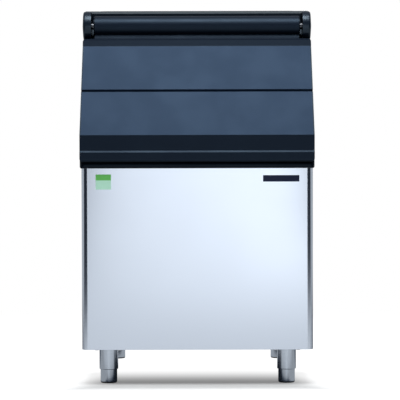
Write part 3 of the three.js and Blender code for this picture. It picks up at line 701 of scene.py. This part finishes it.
def turned_mesh(name: str, profile: Sequence[Pair], steps: int) -> Mesh:
    """Turns a profile round the upright axis.

    Args:
        name: The mesh's name.
        profile: Radius and height of its points, from the axis and back to it.
        steps: Steps round the axis.

    Returns:
        The mesh.
    """
    work = bmesh.new()
    angles = [math.tau * step / steps for step in range(steps)]
    circle = [(math.cos(angle), math.sin(angle)) for angle in angles]
    rings = []
    for radius, height in profile:
        if radius == 0:
            rings.append([work.verts.new((0, 0, height))] * steps)
        else:
            rings.append([work.verts.new((radius * x, radius * y, height)) for x, y in circle])
    for lower, upper in zip(rings, rings[1:]):
        for step in range(steps):
            after = (step + 1) % steps
            around = list(dict.fromkeys((lower[step], lower[after], upper[after], upper[step])))
            if len(around) > 2:
                work.faces.new(around)
    bmesh.ops.recalc_face_normals(work, faces=work.faces)
    return written(work, bpy.data.meshes.new(name))


@dataclass(frozen=True)
class Run:
    """One straight run of fasteners, or several side by side."""

    start: Triple
    step: Triple
    count: int
    facing: Triple
    row_step: Triple = (0.0, 0.0, 0.0)
    rows: int = 1


@dataclass
class FastenerRows:
    """Fasteners set out in rows by a Geometry Nodes tree."""

    name: str
    head_radius: float
    head_height: float
    sides: int = 18
    rim_share: float = 0.45
    shoulder_shares: Pair = (0.8, 0.85)
    crown_share: float = 0.5
    recess_share: float = 0.32
    recess_taper_share: float = 0.8
    recess_floor_share: float = 0.35
    sockets: dict[str, str] = field(default_factory=dict)

    def head(self) -> Object:
        """Makes one head, with a rounded top and a recess for the driver.

        Returns:
            The head as an object, to be copied by the tree.
        """
        radius, height = self.head_radius, self.head_height
        hole, floor = radius * self.recess_share, height * self.recess_floor_share
        shoulder = (radius * self.shoulder_shares[0], height * self.shoulder_shares[1])
        profile = [(0, 0), (radius, 0), (radius, height * self.rim_share), shoulder]
        if hole > 0:
            profile += [(radius * self.crown_share, height), (hole, height)]
            profile += [(hole * self.recess_taper_share, floor), (0, floor)]
        else:
            profile += [(0, shoulder[1])]
        name = f"{self.name}_head"
        return placed(name, turned_mesh(name, profile, self.sides))

    def build_tree(self) -> NodeTree:
        """Builds the tree: a row of points, repeated into rows, with a head on each.

        Returns:
            The tree. Its inputs' identifiers are kept in sockets.
        """
        tree = bpy.data.node_groups.new(f"{self.name} rows", "GeometryNodeTree")
        inputs = {
            "Start": "NodeSocketVector", "Step": "NodeSocketVector", "Count": "NodeSocketInt",
            "Row Step": "NodeSocketVector", "Rows": "NodeSocketInt", "Facing": "NodeSocketVector",
            "Head": "NodeSocketObject", "Finish": "NodeSocketMaterial",
        }
        tree.interface.new_socket("Geometry", in_out="INPUT", socket_type="NodeSocketGeometry")
        for label, kind in inputs.items():
            socket = tree.interface.new_socket(label, in_out="INPUT", socket_type=kind)
            self.sockets[label] = socket.identifier
        tree.interface.new_socket("Geometry", in_out="OUTPUT", socket_type="NodeSocketGeometry")
        build = Tree(tree)
        given = build.add("NodeGroupInput").outputs
        line = {"Count": given["Rows"], "Start Location": given["Start"], "Offset": given["Row Step"]}
        rows = build.add("GeometryNodeMeshLine", line).outputs["Mesh"]
        stretch = {"Count": given["Count"], "Offset": given["Step"]}
        row = build.add("GeometryNodeMeshLine", stretch).outputs["Mesh"]
        grid = build.add("GeometryNodeInstanceOnPoints", {"Points": rows, "Instance": row}).outputs[0]
        points = build.add("GeometryNodeRealizeInstances", {"Geometry": grid}).outputs[0]
        head = build.add("GeometryNodeObjectInfo", {"Object": given["Head"]}).outputs["Geometry"]
        heads = {"Points": points, "Instance": head, "Rotation": given["Facing"]}
        standing = build.add("GeometryNodeInstanceOnPoints", heads).outputs[0]
        made = build.add("GeometryNodeRealizeInstances", {"Geometry": standing}).outputs[0]
        painted = build.add("GeometryNodeSetMaterial", {"Geometry": made, "Material": given["Finish"]})
        build.add("NodeGroupOutput", {"Geometry": painted.outputs[0]})
        return tree

    def lay(self, runs: Iterable[Run], material: Material) -> Mesh:
        """Lays out every run and joins them in one mesh.

        Args:
            runs: The runs of fasteners.
            material: The finish that the tree sets.

        Returns:
            One plain mesh. Joining the runs drops the finish, so it has Blender's default one.
        """
        tree = self.build_tree()
        head = self.head()
        work = bmesh.new()
        for run in runs:
            carrier = placed("carrier", bpy.data.meshes.new("carrier"))
            modifier = carrier.modifiers.new("Rows", "NODES")
            modifier.node_group = tree
            values = {
                "Start": run.start, "Step": run.step, "Count": run.count, "Row Step": run.row_step,
                "Rows": run.rows, "Facing": run.facing, "Head": head, "Finish": material,
            }
            for label, value in values.items():
                modifier[self.sockets[label]] = value
            depsgraph = bpy.context.evaluated_depsgraph_get()
            laid = bpy.data.meshes.new_from_object(carrier.evaluated_get(depsgraph), depsgraph=depsgraph)
            work.from_mesh(laid)
            carrier.modifiers.remove(modifier)
            bpy.data.objects.remove(carrier)
            bpy.data.meshes.remove(laid)
        bpy.data.objects.remove(head)
        return written(work, bpy.data.meshes.new(self.name))


class Workshop:
    """Makes pieces from the frame's nodes and from outlines, and gives them their finish."""

    def __init__(self, frame: dict) -> None:
        """Keeps the frame and builds the shared textures.
        """
        self.nodes: dict[str, Object] = frame["nodes"]
        self.textures = Textures()
        self.materials: dict[str, Material] = {}

    def finished(self, finish: Finish) -> Material:
        """Gives a finish's material, built once.

        Args:
            finish: The finish.

        Returns:
            Its material.
        """
        if finish.name not in self.materials:
            self.materials[finish.name] = finish.material(self.textures)
        return self.materials[finish.name]

    def paint(self, piece: Object, finish: Finish) -> None:
        """Gives a piece its finish.

        Args:
            piece: The object to paint.
            finish: The finish.
        """
        piece.data.materials.clear()
        piece.data.materials.append(self.finished(finish))
        log.info("%s: %s", piece.name, finish.name)

    def piece(self, name: str, mesh: Mesh, body: str) -> Object:
        """Puts a mesh in the scene as a piece of a body.

        Args:
            name: The piece's name.
            mesh: Its mesh, in the row frame.
            body: The body that it rides on.

        Returns:
            The new object.
        """
        made = placed(name, mesh)
        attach(made, body)
        return made

    def soften(self, node: str, finish: Finish, rounding: Rounding) -> None:
        """Stands a merged copy with softened edges in a node's place.

        Args:
            node: The frame's node.
            finish: Its finish.
            rounding: How far its sharp edges are rounded.
        """
        source = self.nodes[node]
        mesh = source.data.copy()
        mesh.name = f"{node}_finished"
        work = bmesh.new()
        work.from_mesh(mesh)
        bmesh.ops.remove_doubles(work, verts=work.verts, dist=WELD_DISTANCE)
        bmesh.ops.dissolve_limit(work, angle_limit=FLAT_ANGLE, verts=work.verts, edges=work.edges)
        copy = self.piece(f"{node}_finished", written(work, mesh), source["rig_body"])
        if rounding is not Rounding.NONE:
            bevel = copy.modifiers.new("Soft edges", "BEVEL")
            bevel.width = rounding.value
            bevel.segments = ROUNDING_SEGMENTS
            bevel.limit_method = "ANGLE"
            bevel.angle_limit = SHARP_ANGLE
            bevel.use_clamp_overlap = False
        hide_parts(node)
        self.paint(copy, finish)

    def keep(self, node: str, finish: Finish) -> None:
        """Paints a frame node as it is."""
        self.paint(self.nodes[node], finish)

    def fasten(self, rows: FastenerRows, runs: Iterable[Run], body: Body) -> None:
        """Sets out fasteners on a body.

        Args:
            rows: The kind of fastener.
            runs: Where they go.
            body: The body that they ride on.
        """
        piece = self.piece(rows.name, rows.lay(runs, self.finished(TUBE)), body.value)
        log.info("%s: set out", piece.name)


@dataclass
class Cabinet:
    """The insulated body: steel, liner, moulded top frame, deck and drain."""

    shop: Workshop
    screw_radius: float = 4.2 * MM
    screw_height: float = 2.2 * MM
    panel_margin: float = 9 * MM
    panel_screws_up: int = 9
    panel_screws_across: int = 5
    deck_margin: float = 10 * MM

    def dress(self) -> None:
        """Finishes every piece of the body."""
        soft = self.shop.soften
        soft("outer_shell", STAINLESS, Rounding.SHEET)
        soft("rear_panel", ZINC, Rounding.SHEET)
        soft("base_panel", ZINC, Rounding.NONE)
        soft("ice_liner", WHITE, Rounding.NONE)
        soft("top_frame", BLACK, Rounding.MOULDED)
        soft("machine_deck", DECK, Rounding.SHEET)
        soft("deck_seal", RUBBER, Rounding.TRIMMED)
        self.shop.keep("insulation_foam", FOAM)
        for name in ("drain_tail", "drain_nut", "drain_strainer"):
            soft(name, WHITE, Rounding.TURNED)

    def fasten(self) -> None:
        """Adds the screws round the rear panel and in the deck's corners."""
        low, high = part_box("rear_panel")
        side = high.x - self.panel_margin
        bottom = low.z + self.panel_margin
        height = high.z - self.panel_margin - bottom
        rise = height / (self.panel_screws_up - 1)
        stride = 2 * side / (self.panel_screws_across + 1)
        corner = (-side, high.y, bottom)
        beside = (stride - side, high.y, bottom)
        back = Way.BACK.value
        deck_low, deck_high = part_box("machine_deck")
        front = deck_low.y + self.deck_margin
        rear = deck_high.y - self.deck_margin
        deck_side = deck_high.x - self.deck_margin
        deck_corner = (-deck_side, front, deck_high.z)
        runs = (
            Run(corner, (0, 0, rise), self.panel_screws_up, back, (2 * side, 0, 0), 2),
            Run(beside, (stride, 0, 0), self.panel_screws_across, back, (0, 0, height), 2),
            Run(deck_corner, (2 * deck_side, 0, 0), 2, Way.UP.value, (0, rear - front, 0), 2),
        )
        screws = FastenerRows("cabinet_screws", self.screw_radius, self.screw_height)
        self.shop.fasten(screws, runs, Body.CABINET)


@dataclass
class Door:
    """The lift-up door with its liner panel and gasket."""

    shop: Workshop
    thickness: float = 38 * MM
    screw_radius: float = 3.6 * MM
    screw_height: float = 1.8 * MM
    screw_side: float = 363 * MM
    first_screw: float = 20 * MM
    last_screw: float = 360 * MM
    screw_count: int = 7

    def dress(self) -> None:
        """Finishes every piece of the door."""
        soft = self.shop.soften
        soft("door_skin", SLATE, Rounding.MOULDED)
        soft("door_inner_panel", WHITE, Rounding.MOULDED)
        soft("door_gasket", RUBBER, Rounding.RUBBER)
        self.shop.keep("door_foam", FOAM)
        for side in SIDES:
            soft(f"roll_plug_{side}", BLACK, Rounding.SHEET)
            soft(f"hinge_bush_{side}", NYLON, Rounding.TURNED)

    def fasten(self) -> None:
        """Adds the screws of the inner panel, in a row down each side."""
        inside = SLOPE_FOOT - OUT_OF_SLOPE * self.thickness
        first = inside + ALONG_SLOPE * self.first_screw - Vector((self.screw_side, 0, 0))
        pitch = ALONG_SLOPE * ((self.last_screw - self.first_screw) / (self.screw_count - 1))
        facing = (math.pi / 2 + math.pi - SLOPE_LEAN, 0.0, 0.0)
        run = Run(tuple(first), tuple(pitch), self.screw_count, facing, (2 * self.screw_side, 0, 0), 2)
        screws = FastenerRows("door_screws", self.screw_radius, self.screw_height)
        self.shop.fasten(screws, [run], Body.DOOR)


@dataclass
class Hinges:
    """The two hinge ends: caps, brackets, pins and bolts."""

    shop: Workshop

    def dress(self) -> None:
        """Finishes both ends."""
        soft = self.shop.soften
        for side in SIDES:
            soft(f"hinge_cap_{side}", CAP, Rounding.TRIMMED)
            # painted shade: brackets, pins and bolts are darkened where they show in the gap between
            # roll and cap
            soft(f"hinge_bracket_{side}", SHADED_ZINC, Rounding.TURNED)
            soft(f"hinge_pin_{side}", SHADED_PIN_STEEL, Rounding.SHEET)
            for level in ("lower", "upper"):
                soft(f"hinge_bolt_{side}_{level}", SHADED_PIN_STEEL, Rounding.TURNED)


@dataclass
class Legs:
    """The four adjustable legs."""

    shop: Workshop
    bolt_radius: float = 8 * MM
    bolt_height: float = 5.5 * MM
    bolt_inset: float = 13 * MM

    def dress(self) -> None:
        """Finishes every leg."""
        soft = self.shop.soften
        for end in ENDS:
            for side in SIDES:
                soft(f"leg_plate_{end}_{side}", ZINC, Rounding.TURNED)
                soft(f"leg_sleeve_{end}_{side}", TUBE, Rounding.SHEET)
                soft(f"foot_barrel_{end}_{side}", TUBE, Rounding.SHEET)
                soft(f"foot_pad_{end}_{side}", RUBBER, Rounding.SHEET)

    def fasten(self) -> None:
        """Adds the bolts that hold the leg plates to the body."""
        runs = []
        for end in ENDS:
            for side in SIDES:
                low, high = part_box(f"leg_plate_{end}_{side}")
                pitch_x = high.x - low.x - 2 * self.bolt_inset
                pitch_y = high.y - low.y - 2 * self.bolt_inset
                start = (low.x + self.bolt_inset, low.y + self.bolt_inset, low.z)
                runs.append(Run(start, (pitch_x, 0, 0), 2, Way.DOWN.value, (0, pitch_y, 0), 2))
        bolts = FastenerRows("leg_bolts", self.bolt_radius, self.bolt_height, sides=6, recess_share=0.0)
        self.shop.fasten(bolts, runs, Body.CABINET)


@dataclass
class Baffle:
    """The baffle behind the scoop opening, with its two brackets."""

    shop: Workshop

    def dress(self) -> None:
        """Finishes the baffle."""
        self.shop.soften("ice_baffle", WHITE, Rounding.TRIMMED)
        for side in SIDES:
            self.shop.soften(f"baffle_bracket_{side}", WHITE, Rounding.SHEET)


@dataclass(frozen=True)
class Sticker:
    """A thin plate stuck on the steel front, placed by its middle."""

    name: str
    width: float
    height: float
    place_x: float
    place_z: float
    thickness: float
    corner: float
    finish: Finish


@dataclass
class FrontPlates:
    """The bare name plate and the plain label on the steel front."""

    shop: Workshop
    plate: Sticker = Sticker(
        "name_plate", width=118 * MM, height=21 * MM, place_x=273 * MM, place_z=675 * MM,
        thickness=0.9 * MM, corner=1.5 * MM, finish=PLATE,
    )
    label: Sticker = Sticker(
        "plain_label", width=50 * MM, height=49 * MM, place_x=-305 * MM, place_z=664.5 * MM,
        thickness=0.25 * MM, corner=1.0 * MM, finish=LABEL,
    )

    def build(self) -> None:
        """Makes both, stuck on the steel."""
        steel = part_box("outer_shell")[0].y
        for given in (self.plate, self.label):
            outline = rounded_rectangle(given.width, given.height, given.corner)
            centre = Vector((given.place_x, steel, given.place_z))
            mesh = plate_mesh(given.name, outline, centre, given.thickness)
            piece = self.shop.piece(given.name, mesh, Body.CABINET.value)
            self.shop.paint(piece, given.finish)


@dataclass
class Surround:
    """What polished metal sees level with itself: a bright card in front, and dimmer sides.

    Angles are in degrees from straight ahead.
    """

    card_edges: Pair = (13.6, 10.0)
    card_slant: float = 0.8
    card_level: float = 1.22
    far_gain: float = 1.13
    side_edges: Pair = (69, 86)
    side_levels: Pair = (0.03, 0.52)
    tint_step: Step = Step(0.0, 0.35, 0.0, 1.0)
    dark_tint: Colour = (0.5, 0.68, 1.0, 1.0)
    pale_tint: Colour = (0.87, 0.935, 1.0, 1.0)

    def __post_init__(self) -> None:
        """Builds the group."""
        self.group = self._group()

    def _group(self) -> NodeTree:
        """Builds the surroundings in every level direction.

        Returns:
            The group: Direction in. Card masks the bright card, Slant is how much brighter its right
            is than its middle, and Sides is what lies beside and behind.
        """
        tree, start = new_group("Studio surround", {"Direction": None}, ("Card", "Slant", "Sides"))
        parts = tree.parts(start.outputs["Direction"])
        flat = tree.add("ShaderNodeCombineXYZ", {0: parts["X"], 1: parts["Y"]}).outputs[0]
        towards = tree.parts(tree.vector("NORMALIZE", flat))
        ahead = tree.math("MULTIPLY", towards["Y"], -1.0)
        card_start, card_end = (math.cos(math.radians(angle)) for angle in self.card_edges)
        side_start, side_end = (math.cos(math.radians(angle)) for angle in self.side_edges)
        outputs = {
            "Card": tree.ramp(ahead, card_start, card_end, 0.0, 1.0),
            "Slant": tree.math("MULTIPLY", towards["X"], self.card_slant),
            "Sides": tree.ramp(ahead, side_start, side_end, *self.side_levels),
        }
        tree.add("NodeGroupOutput", outputs)
        return tree.tree

    def seen(self, tree: Tree, direction: NodeSocket) -> bpy_prop_collection:
        """Places the group for one direction and returns its outputs."""
        return tree.group(self.group, {"Direction": direction})

    def tinted(self, tree: Tree, level: NodeSocket) -> NodeSocket:
        """Gives a level its colour: bluer where it is dark."""
        return tree.blend(tree.ramp(level, *self.tint_step), self.dark_tint, self.pale_tint)


@dataclass
class Surroundings:
    """The world: white to the eye, a dim studio to metal, and a soft fill."""

    surround: Surround
    card_top: Pair = (0.04, 0.14)
    ceiling_step: Step = Step(0.3, 0.8, 0.0, 1.0)
    ceiling_level: float = 0.30
    fill_step: Step = Step(-0.2, 1.0, 0.3, 0.45)

    def build(self) -> None:
        """Makes the world."""
        world = bpy.data.worlds.new("Studio")
        world.use_nodes = True
        bpy.context.scene.world = world
        tree = Tree(world.node_tree)
        direction = tree.add("ShaderNodeTexCoord").outputs["Generated"]
        up = tree.parts(direction)["Z"]
        around = self.surround.seen(tree, direction)
        card_level = self.surround.card_level * self.surround.far_gain
        low_card = tree.ramp(up, *self.card_top, card_level, 0.0)
        card = tree.math("MULTIPLY", around["Card"], tree.math("ADD", around["Slant"], 1.0))
        level = tree.math("MULTIPLY_ADD", card, low_card, around["Sides"])
        glossy = tree.level(tree.ramp(up, *self.ceiling_step), level, self.ceiling_level)
        path = tree.add("ShaderNodeLightPath").outputs
        mirrored = path["Is Glossy Ray"]
        unseen = tree.level(mirrored, tree.ramp(up, *self.fill_step), glossy)
        seen = tree.math("MAXIMUM", path["Is Camera Ray"], path["Is Transmission Ray"])
        strength = tree.level(seen, unseen, 1.0)
        in_metal = tree.math("MULTIPLY", mirrored, tree.math("SUBTRACT", 1.0, seen))
        colour = tree.blend(in_metal, WHITE_LIGHT, self.surround.tinted(tree, level))
        background = tree.add("ShaderNodeBackground", {"Color": colour, "Strength": strength})
        tree.add("ShaderNodeOutputWorld", {"Surface": background.outputs[0]})


@dataclass
class MirroredFloor:
    """The floor as polished metal sees it: a glow with painted shadow under the object, pale in front of
    it.

    Lengths are in metres. Legs see the floor in short rays and the body in longer ones, so
    front_slants and side_places hold the legs' value and then the body's.
    """

    surround: Surround
    card_focus: float = 2.8
    ray_lengths: Pair = (0.25, 0.6)
    front_slants: Pair = (0.0, 0.275)
    front_edge: Step = Step(-0.56, -0.37, 1.0, 0.0)
    side_places: Pair = (0.32, 0.52)
    side_edge: Step = Step(0.0, 0.05, 0.0, 1.0)
    front_floor: Step = Step(-0.95, -0.55, 0.8, 0.46)
    rear_loss: Step = Step(-0.1, 0.15, 0.0, 0.35)
    leg_place: float = 0.275
    leg_spot: Step = Step(0.0, 0.09, 0.17, 0.0)
    leg_spot_start: Step = Step(-0.95, -0.8, 0.0, 1.0)
    back_light: Step = Step(0.04, 0.3, 0.0, 0.5)
    back_width: Step = Step(0.45, 0.55, 1.0, 0.0)
    under_level: float = 0.02
    side_start: float = 0.9
    side_end: Step = Step(-1.0, 1.0, 4.0, 5.8)
    slant_step: Step = Step(1.5, 6.0, 0.0, 1.0)
    far_reach: Pair = (8.0, 25.0)
    card_reach: Pair = (1.2, 6.0)
    card_near_level: float = 0.8
    card_start: Step = Step(0.9, 1.3, 0.0, 1.0)

    def near(self, tree: Tree, across: NodeSocket, along: NodeSocket) -> NodeSocket:
        """Adds the floor under and close round the object, with painted shadow under it and a painted
        bright spot before each leg.

        Args:
            tree: The floor's tree.
            across: How far a place lies from the middle plane.
            along: How far it lies to the rear.

        Returns:
            Its level.
        """
        ray = tree.add("ShaderNodeLightPath").outputs["Ray Length"]
        slant = tree.ramp(ray, *self.ray_lengths, *self.front_slants)
        open_front = tree.ramp(tree.math("MULTIPLY_ADD", across, slant, along), *self.front_edge)
        beyond = tree.math("SUBTRACT", across, tree.ramp(ray, *self.ray_lengths, *self.side_places))
        open_floor = tree.math("MAXIMUM", open_front, tree.ramp(beyond, *self.side_edge))
        rear_loss = tree.ramp(along, *self.rear_loss)
        lit = tree.math("SUBTRACT", tree.ramp(along, *self.front_floor), rear_loss)
        # Painted highlight: a brighter spot on the floor before each leg, which the legs show as a
        # highlight.
        from_leg = tree.math("ABSOLUTE", tree.math("SUBTRACT", across, self.leg_place))
        spot_start = tree.ramp(along, *self.leg_spot_start)
        spot = tree.math("MULTIPLY", tree.ramp(from_leg, *self.leg_spot), spot_start)
        back_width = tree.ramp(across, *self.back_width)
        back = tree.math("MULTIPLY", tree.ramp(along, *self.back_light), back_width)
        under = tree.math("ADD", back, self.under_level)
        return tree.math("MULTIPLY_ADD", open_floor, tree.math("ADD", lit, spot), under)

    def build(self, tree: Tree) -> NodeSocket:
        """Adds the whole mirrored floor.

        Args:
            tree: The floor's tree.

        Returns:
            Its level.
        """
        place = tree.place()
        parts = tree.parts(place)
        reach = tree.vector("LENGTH", place)
        from_focus = tree.vector("SUBTRACT", place, (0.0, self.card_focus, 0.0))
        card_mask = self.surround.seen(tree, from_focus)["Card"]
        around = self.surround.seen(tree, place)
        near = self.near(tree, tree.math("ABSOLUTE", parts["X"]), parts["Y"])
        far = tree.ramp(reach, self.side_start, tree.ramp(parts["X"], *self.side_end), 0.0, 1.0)
        sides = tree.level(far, near, around["Sides"])
        slanted = tree.math("MULTIPLY_ADD", around["Slant"], tree.ramp(reach, *self.slant_step), 1.0)
        rise = tree.ramp(reach, *self.far_reach, 1.0, self.surround.far_gain)
        level = tree.ramp(reach, *self.card_reach, self.card_near_level, self.surround.card_level)
        card = tree.math("MULTIPLY", slanted, tree.math("MULTIPLY", rise, level))
        share = tree.math("MULTIPLY", card_mask, tree.ramp(reach, *self.card_start))
        return tree.level(share, sides, card)


@dataclass
class Floor:
    """The pale floor, with a soft shade under and before the object, partly cast by the lamps and partly
    painted shadow in its glow. Lengths are in metres.
    """

    surround: Surround
    size: float = 120
    matt: Colour = (0.42, 0.42, 0.42, 1.0)
    unseen: Colour = (0.45, 0.45, 0.46, 1.0)
    outward_lean: float = 0.45
    beside_step: Step = Step(0.11, 0.29, 0.19, 0.8)
    before_step: Step = Step(-0.57, -0.43, 0.72, 0.16)
    behind_step: Step = Step(-0.36, 0.02, 0.19, 1.0)
    away_step: Step = Step(0.9, 2.2, 0.0, 1.0)

    def seen(self, tree: Tree) -> Node:
        """Adds the floor as the eye sees it: lit by the lamps, with painted shadow in its glow close by,
        and white further away.

        Args:
            tree: The floor's tree.

        Returns:
            The shader.
        """
        place = tree.place()
        parts = tree.parts(place)
        across = tree.math("ABSOLUTE", parts["X"])
        outward = tree.math("MULTIPLY_ADD", parts["Y"], self.outward_lean, across)
        # Painted shadow: the glow is lower beside, before and behind the object.
        beside = tree.ramp(outward, *self.beside_step)
        before = tree.ramp(parts["Y"], *self.before_step)
        behind = tree.ramp(parts["Y"], *self.behind_step)
        lit = tree.math("MAXIMUM", tree.math("MAXIMUM", beside, before), behind)
        matt = tree.add("ShaderNodeBsdfDiffuse", {"Color": self.matt}).outputs[0]
        lift = tree.add("ShaderNodeEmission", {"Strength": lit}).outputs[0]
        close = tree.add("ShaderNodeAddShader", {0: matt, 1: lift}).outputs[0]
        white = tree.add("ShaderNodeEmission", {"Color": WHITE_LIGHT, "Strength": 1.0}).outputs[0]
        away = tree.ramp(tree.vector("LENGTH", place), *self.away_step)
        return tree.add("ShaderNodeMixShader", {0: away, 1: close, 2: white})

    def material(self) -> Material:
        """Builds the floor's material: one look to the eye, one to polished metal, one to the rest.

        Returns:
            The material.
        """
        material, tree = new_material("Pale floor")
        path = tree.add("ShaderNodeLightPath").outputs
        glow = MirroredFloor(self.surround).build(tree)
        tinted = self.surround.tinted(tree, glow)
        reflected = tree.add("ShaderNodeEmission", {"Color": tinted, "Strength": glow})
        unseen = tree.add("ShaderNodeBsdfDiffuse", {"Color": self.unseen})
        looks = {0: path["Is Camera Ray"], 1: unseen.outputs[0], 2: self.seen(tree).outputs[0]}
        first = tree.add("ShaderNodeMixShader", looks)
        mirrored = {0: path["Is Glossy Ray"], 1: first.outputs[0], 2: reflected.outputs[0]}
        second = tree.add("ShaderNodeMixShader", mirrored)
        tree.add("ShaderNodeOutputMaterial", {"Surface": second.outputs[0]})
        return material

    def build(self) -> None:
        """Lays the floor."""
        half = self.size / 2
        corners = [(-half, -half, 0), (half, -half, 0), (half, half, 0), (-half, half, 0)]
        mesh = bpy.data.meshes.new("floor")
        mesh.from_pydata(corners, [], [(0, 1, 2, 3)])
        mesh.materials.append(self.material())
        placed("floor", mesh)


@dataclass(frozen=True)
class Lamp:
    """A soft square lamp in front of the object, in degrees, metres and watts."""

    name: str
    elevation: float
    distance: float
    size: float
    power: float
    mirrored: bool
    colour: Triple = (0.95, 0.98, 1.0)
    target: Triple = (0.0, 0.0, 0.6)

    def hang(self) -> None:
        """Hangs the lamp, turned to its target."""
        angle = math.radians(self.elevation)
        offset = Vector((0, -math.cos(angle), math.sin(angle))) * self.distance
        data = bpy.data.lights.new(self.name, "AREA")
        data.shape = "SQUARE"
        data.size = self.size
        data.energy = self.power
        data.color = self.colour
        lamp = placed(self.name, data)
        lamp.location = Vector(self.target) + offset
        lamp.visible_glossy = self.mirrored
        lamp.rotation_mode = "QUATERNION"
        lamp.rotation_quaternion = (-offset).to_track_quat("-Z", "Y")


@dataclass(frozen=True)
class Camera:
    """The camera at the photograph's place."""

    distance: float = 6107 * MM
    height: float = 827.5 * MM
    side: float = 9 * MM
    focal_px: float = 1881
    frame_px: float = 400
    sensor_mm: float = 36
    horizon_row: float = 131.55
    roll_degrees: float = -0.15
    furthest: float = 200

    def build(self) -> None:
        """Sets the camera up before the steel front."""
        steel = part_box("outer_shell")[0].y
        data = bpy.data.cameras.new("Camera")
        data.sensor_width = self.sensor_mm
        data.lens = self.sensor_mm * self.focal_px / self.frame_px
        data.clip_end = self.furthest
        camera = placed("Camera", data)
        pitch = math.atan((self.frame_px / 2 - self.horizon_row) / self.focal_px)
        roll = Matrix.Rotation(math.radians(self.roll_degrees), 4, "Z")
        turn = Matrix.Rotation(math.pi / 2 - pitch, 4, "X") @ roll
        camera.matrix_world = Matrix.Translation((self.side, steel - self.distance, self.height)) @ turn
        bpy.context.scene.camera = camera


@dataclass
class Studio:
    """World, floor, lamps and camera."""

    lamps: tuple[Lamp, ...] = (
        Lamp("Key", elevation=67, distance=4.2, size=1.9, power=130, mirrored=True),
        Lamp("Top fill", elevation=66, distance=4.2, size=2.6, power=70, mirrored=False),
    )

    def build(self) -> None:
        """Builds the whole studio."""
        surround = Surround()
        Surroundings(surround).build()
        Floor(surround).build()
        for lamp in self.lamps:
            lamp.hang()
        Camera().build()
        bpy.context.scene.view_settings.view_transform = "Standard"
        log.info("studio built")


def main() -> None:
    """Builds the whole bin and its studio."""
    logging.basicConfig(level=logging.INFO, format="%(name)s: %(message)s")
    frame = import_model()
    shop = Workshop(frame)
    cabinet = Cabinet(shop)
    cabinet.dress()
    cabinet.fasten()
    door = Door(shop)
    door.dress()
    door.fasten()
    Hinges(shop).dress()
    legs = Legs(shop)
    legs.dress()
    legs.fasten()
    Baffle(shop).dress()
    FrontPlates(shop).build()
    Studio().build()


if __name__ == "__main__":
    main()
